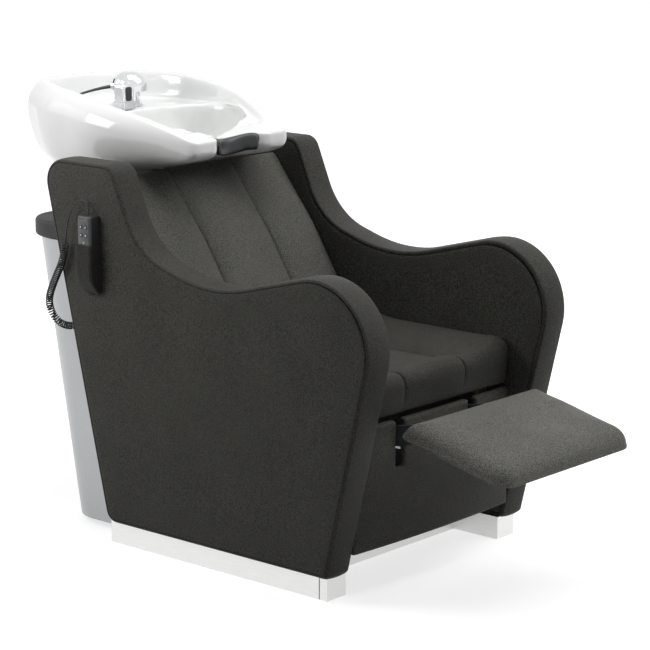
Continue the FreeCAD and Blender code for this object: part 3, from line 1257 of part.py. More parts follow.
def add_cord():
    """Gland in the rear edge, the cord's free stretch, and its curls as one unbroken tube."""
    radius = number("cord_diameter / 2")
    lead, radii = rounded_path(off_panel(LEAD_POINTS))
    print("lead length", round(lead.Length, 1), "radii", [round(value, 1) for value in radii])
    thing = doc.addObject("Part::Feature", "handset_lead")
    thing.Shape = round_tube(lead, radius)
    node("handset_lead", thing)
    seat, out = gland_frame()
    gland_length = number("gland_length")
    mouth = seat + out * gland_length
    approach = mouth + out * number("gland_approach")
    path, radii = rounded_path(off_panel(CURL_POINTS) + [approach, mouth])
    print("curl path length", round(path.Length, 1), "radii", [round(value, 1) for value in radii])
    place_at = curled_line(path)
    straight = number("cord_diameter")
    pitch = number("curl_pitch")
    turns = round((path.Length - 2 * straight) / pitch)
    half_pitch = (path.Length - 2 * straight) / (2 * turns)
    stops = [straight + i * half_pitch for i in range(2 * turns + 1)]
    tiny = pitch / 200
    headings = [(place_at(stop + tiny) - place_at(stop - tiny)).normalize() for stop in stops]
    ends = [place_at(stop) for stop in stops]
    edges = [Part.LineSegment(place_at(0), ends[0]).toShape()]
    headings[0] = (ends[0] - place_at(0)).normalize()
    headings[-1] = (place_at(path.Length) - ends[-1]).normalize()
    for i in range(2 * turns):
        edges += biarc(ends[i], headings[i], ends[i + 1], headings[i + 1])
    edges.append(Part.LineSegment(ends[-1], place_at(path.Length)).toShape())
    wire = Part.Wire(edges)
    curl = doc.addObject("Part::Feature", "curly_cord")
    curl.Shape = round_tube(wire, radius)
    node("curly_cord", curl)
    section_area = math.pi * radius * radius
    print("curls", turns, "wire length", round(wire.Length), "volume share",
          round(curl.Shape.Volume / (section_area * wire.Length), 4), "least gap", round(self_gap(wire), 2))
    gland = doc.addObject("Part::Cylinder", "cord_gland")
    slope = "atan((top_rear - foot_rear) / (panel_top - plinth_height))"
    gland.Placement = Placement(Vector(), Rotation(X_AXIS, 1))
    bind(gland, "Radius", "gland_radius")
    bind(gland, "Height", "gland_length")
    bind(gland, "Placement.Rotation.Angle", f"-90 deg - {slope}")
    rise = "(top_rear - foot_rear) / (panel_top - plinth_height)"
    place(gland, "gland_inset - outer_width / 2", f"foot_rear + {rise} * (gland_level - plinth_height)",
          "gland_level")
    node("cord_gland", gland)


def self_gap(wire):
    """Least room between the curl's own turns, on points along it."""
    spacing = 0.6
    points = wire.discretize(Number=int(wire.Length / spacing))
    diameter = number("cord_diameter")
    skip = int(2.2 * diameter / spacing) + 1
    reach = int(4 * math.pi * number("curl_radius") / spacing)
    least = min((points[i] - points[j]).Length for i in range(len(points))
                for j in range(i + skip, min(i + reach, len(points))))
    return least - diameter


add_plinths()
add_floor_frame()
add_side_panels()
add_seat()
add_back()
add_front_skirt()
add_footrest_pad()
add_footrest_arms()
add_crank()
add_actuator()
add_rear()
add_basin()
add_neck_rest()
add_tilt()
add_waste()
add_mixer()
add_hand_shower()
add_handset()
add_cord()
doc.recompute()

faults = [thing.Name for thing in doc.Objects if {"Invalid", "Error"} & set(thing.State)]
for label, piece in nodes.items():
    if piece.Shape.isNull() or not piece.Shape.isValid() or not piece.Shape.Solids:
        faults.append(label)
if faults:
    raise RuntimeError("failed pieces: " + ", ".join(faults))
os.makedirs("parts", exist_ok=True)
for label, piece in nodes.items():
    piece.Shape.exportStep(os.path.join("parts", label + ".step"))
print(len(nodes), "pieces")
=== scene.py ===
"""Looks of a backwash unit: a reclined salon chair with a tilting basin and a wired handset.

Metres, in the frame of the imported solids: +Z up, front of the chair at -Y, the sitter's left at +X.
"""
import json
import math
import bmesh
import bpy
from mathutils import Matrix, Vector
from mathutils.geometry import delaunay_2d_cdt
from mathutils.kdtree import KDTree


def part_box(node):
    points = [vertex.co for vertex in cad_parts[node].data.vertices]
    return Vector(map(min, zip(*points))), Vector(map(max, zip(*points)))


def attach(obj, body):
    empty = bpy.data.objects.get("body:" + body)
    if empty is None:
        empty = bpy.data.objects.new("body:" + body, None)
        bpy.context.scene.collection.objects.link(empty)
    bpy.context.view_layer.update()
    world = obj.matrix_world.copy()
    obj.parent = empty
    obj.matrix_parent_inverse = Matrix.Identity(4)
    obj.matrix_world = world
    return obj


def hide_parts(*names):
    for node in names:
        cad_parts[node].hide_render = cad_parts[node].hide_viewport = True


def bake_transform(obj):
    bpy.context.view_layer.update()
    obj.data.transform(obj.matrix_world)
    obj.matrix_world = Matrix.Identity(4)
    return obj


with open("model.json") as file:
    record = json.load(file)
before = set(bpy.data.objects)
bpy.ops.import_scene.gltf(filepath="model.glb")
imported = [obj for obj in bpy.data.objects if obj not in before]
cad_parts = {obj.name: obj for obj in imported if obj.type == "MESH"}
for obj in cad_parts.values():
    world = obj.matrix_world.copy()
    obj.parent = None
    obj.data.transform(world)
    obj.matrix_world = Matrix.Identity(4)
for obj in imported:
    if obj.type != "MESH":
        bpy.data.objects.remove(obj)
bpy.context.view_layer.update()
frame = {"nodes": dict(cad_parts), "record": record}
scene = bpy.context.scene

# Corners of the side panels' outline as (y, z, radius)
SIDE_OUTLINE = [(0.3125, 0.051, 0.030), (0.4995, 0.840, 0.050), (0.2815, 0.840, 0.035),
                (0.2075, 0.665, 0.165), (-0.0045, 0.599, 0.470), (-0.4865, 0.724, 0.157),
                (-0.3255, 0.051, 0.008)]
PANEL_MIDDLE = 0.295
PANEL_HALF = 0.035
CUSHION_HALF = 0.2592
SEAM_PLACE = 0.100
TAP_AXIS = Vector((0.015, 0.575, 0))
HANDSET_Y = 0.3346
POCKET_FRONT = -0.3679
PANEL_FACE = -0.330


def linear(red, green, blue):
    """Shader colour of picture levels from 0 to 255."""
    return tuple(((level / 255 + 0.055) / 1.055) ** 2.4 for level in (red, green, blue))


def map_range(nodes, links, value, start, end, low, high):
    """Value from one span mapped on another."""
    span = nodes.new("ShaderNodeMapRange")
    for socket, level in (("From Min", start), ("From Max", end), ("To Min", low), ("To Max", high)):
        span.inputs[socket].default_value = level
    links.new(value, span.inputs["Value"])
    return span.outputs["Result"]


class Finish:
    """Procedural material round one principled shader, on object coordinates."""

    def __init__(self, name, colour, roughness, sockets=()):
        self.material = bpy.data.materials.new(name)
        self.material.use_nodes = True
        self.nodes = self.material.node_tree.nodes
        self.links = self.material.node_tree.links
        self.shader = self.nodes["Principled BSDF"]
        self.shader.inputs["Base Color"].default_value = (*colour, 1)
        self.shader.inputs["Roughness"].default_value = roughness
        for socket, value in dict(sockets).items():
            self.shader.inputs[socket].default_value = value
        self.coords = self.nodes.new("ShaderNodeTexCoord").outputs["Object"]
        self.normal = None

    def texture(self, kind, scale, stretch, sockets=()):
        mapping = self.nodes.new("ShaderNodeMapping")
        mapping.inputs["Scale"].default_value = stretch
        self.links.new(self.coords, mapping.inputs["Vector"])
        made = self.nodes.new(kind)
        made.inputs["Scale"].default_value = scale
        for socket, value in dict(sockets).items():
            made.inputs[socket].default_value = value
        self.links.new(mapping.outputs["Vector"], made.inputs["Vector"])
        return made.outputs[0]

    def noise(self, scale, detail=3, stretch=(1, 1, 1)):
        """Cloudy pattern, with as many clouds to the metre as its scale."""
        return self.texture("ShaderNodeTexNoise", scale, stretch, {"Detail": detail})

    def cells(self, scale):
        """Pebbled pattern, with as many pebbles to the metre as its scale."""
        return self.texture("ShaderNodeTexVoronoi", scale, (1, 1, 1))

    def mixed(self, share, first, second):
        mix = self.nodes.new("ShaderNodeMix")
        mix.inputs[0].default_value = share
        self.links.new(first, mix.inputs[2])
        self.links.new(second, mix.inputs[3])
        return mix.outputs[0]

    def ranged(self, value, low, high, start=0.3, end=0.7):
        return map_range(self.nodes, self.links, value, start, end, low, high)

    def tint(self, value, dark, light):
        """Base colour between two tones."""
        mix = self.nodes.new("ShaderNodeMix")
        mix.data_type = "RGBA"
        self.links.new(self.ranged(value, 0, 1), mix.inputs[0])
        mix.inputs[6].default_value = (*dark, 1)
        mix.inputs[7].default_value = (*light, 1)
        self.links.new(mix.outputs[2], self.shader.inputs["Base Color"])

    def gloss(self, value, low, high):
        """Roughness between two levels."""
        self.links.new(self.ranged(value, low, high), self.shader.inputs["Roughness"])

    def relief(self, value, depth, strength):
        """Bump of a depth in metres, on top of the bumps before it."""
        bump = self.nodes.new("ShaderNodeBump")
        bump.inputs["Distance"].default_value = depth
        bump.inputs["Strength"].default_value = strength
        self.links.new(value, bump.inputs["Height"])
        if self.normal:
            self.links.new(self.normal, bump.inputs["Normal"])
        self.normal = bump.outputs["Normal"]
        self.links.new(self.normal, self.shader.inputs["Normal"])


def leatherette(name, dark, light):
    """Pebbled leatherette, mottled a little, with a soft sheen."""
    finish = Finish(name, linear(*dark), 0.52, {"Sheen Weight": 0.02, "Specular IOR Level": 0.08})
    blotches = finish.noise(9, 4)
    pebbles = finish.ranged(finish.noise(460, 2), 0, 1, 0.34, 0.66)
    finish.tint(finish.mixed(0.72, blotches, pebbles), linear(*dark), linear(*light))
    finish.gloss(pebbles, 0.42, 0.62)
    finish.relief(finish.noise(7, 2), 0.004, 0.22)
    finish.relief(finish.cells(430), 0.0008, 0.75)
    finish.relief(pebbles, 0.0008, 0.45)
    return finish.material


def glazed_ceramic():
    finish = Finish("glazed_ceramic", linear(236, 237, 236), 0.08,
                    {"Coat Weight": 0.5, "Coat Roughness": 0.05, "Specular IOR Level": 0.5})
    clouds = finish.noise(6, 3)
    finish.tint(clouds, linear(232, 233, 232), linear(240, 241, 240))
    finish.gloss(finish.noise(40, 2), 0.06, 0.12)
    finish.relief(finish.noise(9, 2), 0.002, 0.06)
    return finish.material


def polished_metal(name, tone, low, high):
    """Plated metal with faint wipe marks."""
    finish = Finish(name, linear(*tone), low, {"Metallic": 1.0})
    wipes = finish.noise(60, 4)
    finish.tint(wipes, linear(*[level - 8 for level in tone]), linear(*tone))
    finish.gloss(wipes, low, high)
    finish.relief(finish.noise(900, 2), 0.00004, 0.2)
    return finish.material


def brushed_metal(name, tone, stretch):
    """Metal brushed along the axis that the stretch leaves short."""
    finish = Finish(name, linear(*tone), 0.36, {"Metallic": 0.85})
    strokes = finish.noise(22, 4, stretch)
    finish.tint(strokes, linear(*[level - 14 for level in tone]), linear(*tone))
    finish.gloss(strokes, 0.30, 0.44)
    finish.relief(strokes, 0.0002, 0.15)
    return finish.material


def silver_lacquer():
    finish = Finish("silver_lacquer", linear(178, 180, 182), 0.34,
                    {"Metallic": 0.55, "Coat Weight": 0.25, "Coat Roughness": 0.12})
    flakes = finish.cells(1400)
    finish.tint(flakes, linear(186, 188, 190), linear(170, 172, 174))
    finish.gloss(finish.noise(14, 3), 0.30, 0.38)
    finish.relief(finish.noise(260, 2), 0.0001, 0.10)
    return finish.material


def moulded(name, dark, light, roughness, grain=900):
    """Moulded plastic or rubber with a spark-eroded texture."""
    finish = Finish(name, linear(*dark), roughness, {"Specular IOR Level": 0.45})
    clouds = finish.noise(18, 4)
    finish.tint(finish.mixed(0.4, clouds, finish.noise(grain, 2)), linear(*dark), linear(*light))
    finish.gloss(clouds, roughness - 0.05, roughness + 0.06)
    finish.relief(finish.cells(grain), 0.00015, 0.35)
    return finish.material


def birch_ply():
    finish = Finish("birch_ply", linear(196, 168, 128), 0.62)
    figure = finish.noise(26, 5, (1, 0.12, 1))
    finish.tint(figure, linear(176, 146, 106), linear(208, 182, 142))
    finish.gloss(figure, 0.56, 0.68)
    finish.relief(figure, 0.0004, 0.3)
    return finish.material


def powder_coat():
    finish = Finish("powder_coat", linear(58, 60, 62), 0.48)
    peel = finish.noise(420, 2)
    finish.tint(finish.noise(24, 3), linear(52, 54, 56), linear(64, 66, 68))
    finish.gloss(peel, 0.42, 0.54)
    finish.relief(peel, 0.0002, 0.3)
    return finish.material


HIDE = leatherette("panel_leatherette", (45, 45, 41), (80, 79, 74))
# Darker copy of the panel leatherette for the seat: painted shade for the seat lying between the side panels
SEAT_HIDE_PAINTED_SHADE = leatherette("seat_leatherette_painted_shade", (42, 42, 38), (70, 69, 65))
BAND_HIDE = leatherette("band_leatherette", (42, 42, 38), (72, 71, 67))
POCKET_HIDE = leatherette("pocket_leatherette", (34, 34, 31), (58, 57, 54))
# Much lighter copy of the panel leatherette for the footrest: painted light for its top facing the lamps
FOOT_HIDE_PAINTED_LIGHT = leatherette("footrest_leatherette_painted_light", (76, 76, 71), (118, 117, 112))
# Lighter copy of the panel leatherette for the back cushion: painted light where the lamps fall on it
BACK_HIDE_PAINTED_LIGHT = leatherette("back_leatherette_painted_light", (62, 62, 58), (98, 97, 92))
THREAD = moulded("sewing_thread", (40, 40, 38), (58, 58, 55), 0.7)
CERAMIC = glazed_ceramic()
CHROME = polished_metal("tap_chrome", (226, 228, 230), 0.06, 0.14)
STEEL = polished_metal("zinc_steel", (176, 178, 180), 0.24, 0.36)
PLINTH_METAL = brushed_metal("plinth_metal", (242, 242, 241), (60, 1, 60))
SILVER = silver_lacquer()
SHELF_PLASTIC = moulded("shelf_plastic", (34, 34, 34), (42, 42, 42), 0.60, 500)
DARK_PLASTIC = moulded("dark_plastic", (34, 34, 36), (46, 46, 48), 0.46)
HANDSET_PLASTIC = moulded("handset_plastic", (44, 44, 46), (58, 58, 60), 0.38)
FACE_PLASTIC = moulded("handset_face", (74, 75, 77), (90, 91, 93), 0.28)
BUTTON_RUBBER = moulded("button_rubber", (46, 47, 50), (60, 61, 64), 0.55)
PRINT = moulded("pale_print", (214, 216, 218), (228, 229, 231), 0.50)
LAMP = moulded("lamp_lens", (120, 176, 120), (148, 200, 146), 0.20)
LEVER_FINISH = moulded("lever_lacquer", (44, 45, 48), (58, 59, 62), 0.24)
CORD_RUBBER = moulded("cord_rubber", (22, 22, 23), (36, 36, 37), 0.56)
NECK_RUBBER = moulded("neck_rubber", (40, 41, 43), (54, 55, 57), 0.38, 600)
PIPE_PLASTIC = moulded("pipe_plastic", (206, 207, 206), (222, 223, 222), 0.42)
PLY = birch_ply()
PAINT = powder_coat()
JOINT_LINE = moulded("joint_shadow", (52, 52, 53), (66, 66, 67), 0.6)

SLOT_FINISHES = {
    "plinth_metal": PLINTH_METAL, "frame_steel": PAINT, "screw_steel": STEEL, "band_leather": BAND_HIDE,
    "side_leather": HIDE, "seat_leather": SEAT_HIDE_PAINTED_SHADE, "pocket_leather": POCKET_HIDE, "board_wood": PLY,
    "bright_steel": STEEL, "dark_plastic": DARK_PLASTIC, "shelf_plastic": SHELF_PLASTIC,
    "cover_silver": SILVER, "basin_ceramic": CERAMIC, "neck_rubber": NECK_RUBBER, "tap_chrome": CHROME,
    "lever_dark": LEVER_FINISH, "pipe_plastic": PIPE_PLASTIC, "handset_plastic": HANDSET_PLASTIC,
    "button_plastic": BUTTON_RUBBER, "lamp_plastic": LAMP, "cord_rubber": CORD_RUBBER,
}


def finish_solids():
    """Give each carried-over solid the finish of its slot."""
    for subpart in frame["record"]["subparts"]:
        solid = frame["nodes"][subpart["node"]]
        finish = SLOT_FINISHES[subpart["material_slot"]]
        if not solid.material_slots:
            solid.data.materials.append(finish)
        for slot in solid.material_slots:
            slot.material = finish


def piece_from(name, verts, faces):
    """New object with its faces turned outwards."""
    mesh = bpy.data.meshes.new(name)
    mesh.from_pydata([tuple(vert) for vert in verts], [], faces)
    form = bmesh.new()
    form.from_mesh(mesh)
    bmesh.ops.recalc_face_normals(form, faces=form.faces)
    form.to_mesh(mesh)
    form.free()
    piece = bpy.data.objects.new(name, mesh)
    scene.collection.objects.link(piece)
    return piece


def dress(piece, finish, body, slot, *replaced, crease=35):
    """Finish, shading, body and the solids that a piece stands for. The slot is not used."""
    piece.data.materials.clear()
    piece.data.materials.append(finish)
    piece.data.shade_smooth()
    piece.data.set_sharp_from_angle(angle=math.radians(crease))
    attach(piece, body)
    if replaced:
        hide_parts(*replaced)
    return piece


def smoothed(piece, levels):
    divide = piece.modifiers.new("smooth", "SUBSURF")
    divide.levels = levels
    divide.render_levels = levels
    return piece


def strips(ring_count, count, wrap=False):
    """Quads between neighbouring rings of equally many points."""
    faces = []
    for row in range(ring_count if wrap else ring_count - 1):
        low = row * count
        high = (row + 1) % ring_count * count
        for i in range(count):
            j = (i + 1) % count
            faces.append((low + i, low + j, high + j, high + i))
    return faces


def loft(name, rings, caps=(True, True), wrap=False):
    """Skin through rings of points."""
    count = len(rings[0])
    verts = [point for ring in rings for point in ring]
    faces = strips(len(rings), count, wrap)
    if caps[0] and not wrap:
        faces.append(tuple(reversed(range(count))))
    if caps[1] and not wrap:
        faces.append(tuple(range(len(verts) - count, len(verts))))
    return piece_from(name, verts, faces)


def shifted(corners, inset):
    """Corners of an outline moved inwards, with their radii to match. The outline runs anticlockwise."""
    moved = []
    for i, (u, v, radius) in enumerate(corners):
        corner = Vector((u, v))
        before = (corner - Vector(corners[i - 1][:2])).normalized()
        after = (Vector(corners[(i + 1) % len(corners)][:2]) - corner).normalized()
        first = Vector((before.y, -before.x))
        second = Vector((after.y, -after.x))
        corner -= (first + second) * (inset / (1 + first.dot(second)))
        outward = before.x * after.y - before.y * after.x > 0
        moved.append((corner.x, corner.y, max(0.0015, radius - inset if outward else radius + inset)))
    return moved


def rounded_loop(corners):
    """Fine points round a closed outline of straight runs and tangent arcs."""
    points = [Vector(corner[:2]) for corner in corners]
    loop = []
    for i, corner in enumerate(points):
        before = corner - points[i - 1]
        after = points[(i + 1) % len(points)] - corner
        room = 0.48 * min(before.length, after.length)
        before.normalize()
        after.normalize()
        turn = math.atan2(before.x * after.y - before.y * after.x, before.dot(after))
        radius = min(corners[i][2], room / max(math.tan(abs(turn) / 2), 1e-6))
        start = corner - before * radius * math.tan(abs(turn) / 2)
        centre = start + Vector((-before.y, before.x)) * math.copysign(radius, turn)
        steps = max(2, int(abs(turn) / math.radians(3)))
        for step in range(steps + 1):
            loop.append(centre + Matrix.Rotation(turn * step / steps, 2) @ (start - centre))
    return loop


def even(points, count):
    """Points at equal distances round a closed line."""
    lengths = [0.0]
    for a, b in zip(points, points[1:] + points[:1]):
        lengths.append(lengths[-1] + (b - a).length)
    spaced = []
    leg = 0
    for i in range(count):
        reach = lengths[-1] * i / count
        while lengths[leg + 1] < reach:
            leg += 1
        share = (reach - lengths[leg]) / max(lengths[leg + 1] - lengths[leg], 1e-9)
        spaced.append(points[leg].lerp(points[(leg + 1) % len(points)], share))
    return spaced


def outline_points(corners, inset, count):
    """Even points round an outline that is moved inwards."""
    return even(rounded_loop(shifted(corners, inset)), count)


def box_plan(low_u, low_v, high_u, high_v, radius):
    """Corners of a box with equal radii."""
    places = ((low_u, low_v), (high_u, low_v), (high_u, high_v), (low_u, high_v))
    return [(u, v, radius) for u, v in places]


def padded_panel(name, corners, count, rings, crown, spread, place, pitch=0.022):
    """Upholstered panel: rings of (inset, rise) from its sewn edge inwards, then a crowned middle."""
    loops = [outline_points(corners, inset, count) for inset, rise in rings]
    verts = [place(point.x, point.y, rise) for loop, (inset, rise) in zip(loops, rings) for point in loop]
    faces = strips(len(rings), count)
    faces.append(tuple(range(count)))
    edge = loops[-1]
    near = KDTree(count)
    for i, point in enumerate(edge):
        near.insert((point.x, point.y, 0), i)
    near.balance()
    low_u, high_u = min(p.x for p in edge), max(p.x for p in edge)
    low_v, high_v = min(p.y for p in edge), max(p.y for p in edge)
    middle = []
    for row in range(int((high_v - low_v) / pitch) + 1):
        for column in range(int((high_u - low_u) / pitch) + 1):
            point = Vector((low_u + (column + 0.5 * (row % 2)) * pitch, low_v + row * pitch))
            if near.find((point.x, point.y, 0))[2] > 0.6 * pitch:
                middle.append(point)
    filled = delaunay_2d_cdt(edge + middle, [], [list(range(count))], 1, 1e-7)
    base = len(verts) - count
    numbers = {}
    for i, sources in enumerate(filled[3]):
        on_edge = [source for source in sources if source < count]
        if on_edge:
            numbers[i] = base + on_edge[0]
    for face in filled[2]:
        for i in face:
            if i not in numbers:
                point = filled[0][i]
                depth = near.find((point.x, point.y, 0))[2]
                numbers[i] = len(verts)
                verts.append(place(point.x, point.y, rings[-1][1] + crown * (1 - math.exp(-depth / spread))))
        faces.append(tuple(numbers[i] for i in face))
    return piece_from(name, verts, faces)


def puff(piece, held, pressure, reach):
    """Blow a padded skin up as cloth. Held points stay, and no point moves further than the reach."""
    rest = [vert.co.copy() for vert in piece.data.vertices]
    pins = piece.vertex_groups.new(name="held")
    pins.add([i for i, point in enumerate(rest) if held(point)], 1.0, "REPLACE")
    cloth = piece.modifiers.new("cloth", "CLOTH")
    cloth.settings.quality = 6
    cloth.settings.vertex_group_mass = "held"
    cloth.settings.use_pressure = True
    cloth.settings.uniform_pressure_force = pressure
    cloth.settings.effector_weights.gravity = 0
    cloth.collision_settings.use_collision = False
    last = 20
    cloth.point_cache.frame_start = 1
    cloth.point_cache.frame_end = last
    for number in range(1, last + 1):
        scene.frame_set(number)
    blown = piece.evaluated_get(bpy.context.evaluated_depsgraph_get()).data
    moved = [vert.co.copy() for vert in blown.vertices]
    piece.modifiers.remove(cloth)
    piece.vertex_groups.remove(pins)
    scene.frame_set(1)
    for vert, before, after in zip(piece.data.vertices, rest, moved):
        step = after - before
        if step.length > reach:
            step *= reach / step.length
        vert.co = before + step
    piece.data.update()


def stitch_tree():
    """Rows of small beads along the lines of a mesh, with their spacing and size as inputs."""
    tree = bpy.data.node_groups.new("stitch_rows", "GeometryNodeTree")
    for label, way, kind in (("Lines", "INPUT", "Geometry"), ("Spacing", "INPUT", "Float"),
                             ("Size", "INPUT", "Vector"), ("Finish", "INPUT", "Material"),
                             ("Beads", "OUTPUT", "Geometry")):
        tree.interface.new_socket(label, in_out=way, socket_type=f"NodeSocket{kind}")
    nodes = tree.nodes
    start = nodes.new("NodeGroupInput")
    lines = nodes.new("GeometryNodeMeshToCurve")
    spaced = nodes.new("GeometryNodeResampleCurve")
    spaced.mode = "LENGTH"
    bead = nodes.new("GeometryNodeMeshUVSphere")
    bead.inputs["Segments"].default_value = 6
    bead.inputs["Rings"].default_value = 4
    bead.inputs["Radius"].default_value = 0.5
    heading = nodes.new("GeometryNodeInputTangent")
    turn = nodes.new("FunctionNodeAlignRotationToVector")
    turn.axis = "X"
    laid = nodes.new("GeometryNodeInstanceOnPoints")
    real = nodes.new("GeometryNodeRealizeInstances")
    coated = nodes.new("GeometryNodeSetMaterial")
    end = nodes.new("NodeGroupOutput")
    link = tree.links.new
    link(start.outputs["Lines"], lines.inputs["Mesh"])
    link(lines.outputs["Curve"], spaced.inputs["Curve"])
    link(start.outputs["Spacing"], spaced.inputs["Length"])
    link(spaced.outputs["Curve"], laid.inputs["Points"])
    link(bead.outputs["Mesh"], laid.inputs["Instance"])
    link(heading.outputs["Tangent"], turn.inputs["Vector"])
    link(turn.outputs["Rotation"], laid.inputs["Rotation"])
    link(start.outputs["Size"], laid.inputs["Scale"])
    link(laid.outputs["Instances"], real.inputs["Geometry"])
    link(real.outputs["Geometry"], coated.inputs["Geometry"])
    link(start.outputs["Finish"], coated.inputs["Material"])
    link(coated.outputs["Geometry"], end.inputs["Beads"])
    return tree


STITCHES = stitch_tree()


def beaded(name, lines, spacing, size, finish, body, slot):
    """Stitches or nozzles along open lines of points, as one plain mesh."""
    verts = []
    edges = []
    for line in lines:
        edges += [(len(verts) + i, len(verts) + i + 1) for i in range(len(line) - 1)]
        verts += [tuple(point) for point in line]
    mesh = bpy.data.meshes.new(name + "_lines")
    mesh.from_pydata(verts, edges, [])
    holder = bpy.data.objects.new(name + "_lines", mesh)
    scene.collection.objects.link(holder)
    rows = holder.modifiers.new("rows", "NODES")
    rows.node_group = STITCHES
    values = {"Spacing": spacing, "Size": size, "Finish": finish}
    for socket in STITCHES.interface.items_tree:
        if socket.in_out == "INPUT" and socket.name in values:
            rows[socket.identifier] = values[socket.name]
    depsgraph = bpy.context.evaluated_depsgraph_get()
    made = bpy.data.meshes.new_from_object(holder.evaluated_get(depsgraph))
    bpy.data.objects.remove(holder)
    piece = bpy.data.objects.new(name, made)
    scene.collection.objects.link(piece)
    return dress(piece, finish, body, slot, crease=80)


def tube(name, line, radius, sides):
    """Round tube along points, closed at both ends."""
    side = (line[1] - line[0]).orthogonal().normalized()
    rings = []
    for i, point in enumerate(line):
        heading = (line[min(i + 1, len(line) - 1)] - line[max(i - 1, 0)]).normalized()
        side = (side - heading * side.dot(heading)).normalized()
        other = heading.cross(side)
        ring = []
        for step in range(sides):
            angle = 2 * math.pi * step / sides
            ring.append(point + (side * math.cos(angle) + other * math.sin(angle)) * radius)
        rings.append(ring)
    return loft(name, rings)


# Studio

def studio():
    """Camera at the photograph's angle, soft lights, and a pale floor that keeps the shadow."""
    lens = bpy.data.cameras.new("camera")
    lens.lens = 135.54
    lens.sensor_width = 36
    camera = bpy.data.objects.new("camera", lens)
    camera.location = (-3.9058, -3.4516, 1.6056)
    camera.rotation_euler = (math.radians(77.84), 0, math.radians(-48.81))
    scene.collection.objects.link(camera)
    scene.camera = camera
    scene.view_settings.view_transform = "Standard"
    target = Vector((0, 0, 0.5))
    lamps = (("key", (1.6, -2.4, 3.4), 2.4, 76), ("fill", (-1.15, 0.75, 1.3), 0.6, 8),
             ("top", (0.2, -0.2, 3.6), 2.0, 60), ("rear", (-2.2, 3.0, 2.0), 1.8, 8))
    for name, place, size, power in lamps:
        lamp = bpy.data.lights.new(name, "AREA")
        lamp.size = size
        lamp.energy = power
        light = bpy.data.objects.new(name, lamp)
        light.location = place
        light.rotation_euler = (target - Vector(place)).to_track_quat("-Z", "Y").to_euler()
        scene.collection.objects.link(light)
    world = bpy.data.worlds.new("studio")
    world.use_nodes = True
    scene.world = world
    nodes = world.node_tree.nodes
    links = world.node_tree.links
    lit, seen_white = 0.10, 1.0
    strength = map_range(nodes, links, seen_or_mirrored(nodes, links), 0, 1, lit, seen_white)
    links.new(strength, nodes["Background"].inputs["Strength"])
    nodes["Background"].inputs["Color"].default_value = (1, 1, 1, 1)
    reach = 12
    corners = [(-reach, -reach, 0), (reach, -reach, 0), (reach, reach, 0), (-reach, reach, 0)]
    floor = piece_from("floor", corners, [(0, 1, 2, 3)])
    floor.data.materials.append(floor_finish())


def seen_or_mirrored(nodes, links):
    """One for what the camera sees straight or in a polished surface, and nought for the rest."""
    path = nodes.new("ShaderNodeLightPath")
    either = nodes.new("ShaderNodeMath")
    either.operation = "MAXIMUM"
    links.new(path.outputs["Is Camera Ray"], either.inputs[0])
    links.new(path.outputs["Is Glossy Ray"], either.inputs[1])
    return either.outputs["Value"]


def floor_finish():
    """Pale floor that keeps the shadow close by and turns white further out."""
    material = bpy.data.materials.new("pale_floor")
    material.use_nodes = True
    nodes = material.node_tree.nodes
    links = material.node_tree.links
    shader = nodes["Principled BSDF"]
    shader.inputs["Base Color"].default_value = (0.50, 0.50, 0.50, 1)
    shader.inputs["Roughness"].default_value = 0.7
    shader.inputs["Emission Color"].default_value = (1, 1, 1, 1)
    coords = nodes.new("ShaderNodeTexCoord")
    distance = nodes.new("ShaderNodeVectorMath")
    distance.operation = "LENGTH"
    links.new(coords.outputs["Object"], distance.inputs[0])
    shadow_reach, white_from = 0.7, 2.2
    glow = map_range(nodes, links, distance.outputs["Value"], shadow_reach, white_from, 0.74, 1.0)
    seen = nodes.new("ShaderNodeMath")
    seen.operation = "MULTIPLY"
    links.new(glow, seen.inputs[0])
    links.new(seen_or_mirrored(nodes, links), seen.inputs[1])
    links.new(seen.outputs["Value"], shader.inputs["Emission Strength"])
    return material


# Handset cord: control points of its route, up out of the handset, over and down, then curled to the gland
LEAD_ROUTE = [(-0.3477, 0.3346, 0.732), (-0.3477, 0.3346, 0.750), (-0.3477, 0.346, 0.763),
              (-0.3477, 0.363, 0.761), (-0.3477, 0.383, 0.746), (-0.3477, 0.3975, 0.722),
              (-0.3477, 0.4045, 0.697)]
CURL_ROUTE = [(-0.3477, 0.4085, 0.672), (-0.3474, 0.413, 0.643), (-0.345, 0.427, 0.613),
              (-0.339, 0.449, 0.586), (-0.331, 0.472, 0.558), (-0.322, 0.494, 0.529),
              (-0.313, 0.5025, 0.5005), (-0.305, 0.491, 0.474), (-0.299, 0.4643, 0.4618),
              (-0.299, 0.4361, 0.4685)]
CURL_START = Vector(CURL_ROUTE[0])
CORD_RADIUS = 0.0015
CURL_RADIUS = 0.0071
CURL_PITCH = 0.0056


def route_line(points, detail):
    """Points along the smooth line that a route's points steer."""
    curve = bpy.data.curves.new("route", "CURVE")
    curve.dimensions = "3D"
    spline = curve.splines.new("NURBS")
    spline.points.add(len(points) - 1)
    for control, place in zip(spline.points, points):
        control.co = (*place, 1)
    spline.order_u = 3
    spline.use_endpoint_u = True
    spline.resolution_u = detail
    holder = bpy.data.objects.new("route", curve)
    scene.collection.objects.link(holder)
    depsgraph = bpy.context.evaluated_depsgraph_get()
    mesh = bpy.data.meshes.new_from_object(holder.evaluated_get(depsgraph))
    line = [vert.co.copy() for vert in mesh.vertices]
    bpy.data.objects.remove(holder)
    bpy.data.meshes.remove(mesh)
    return line


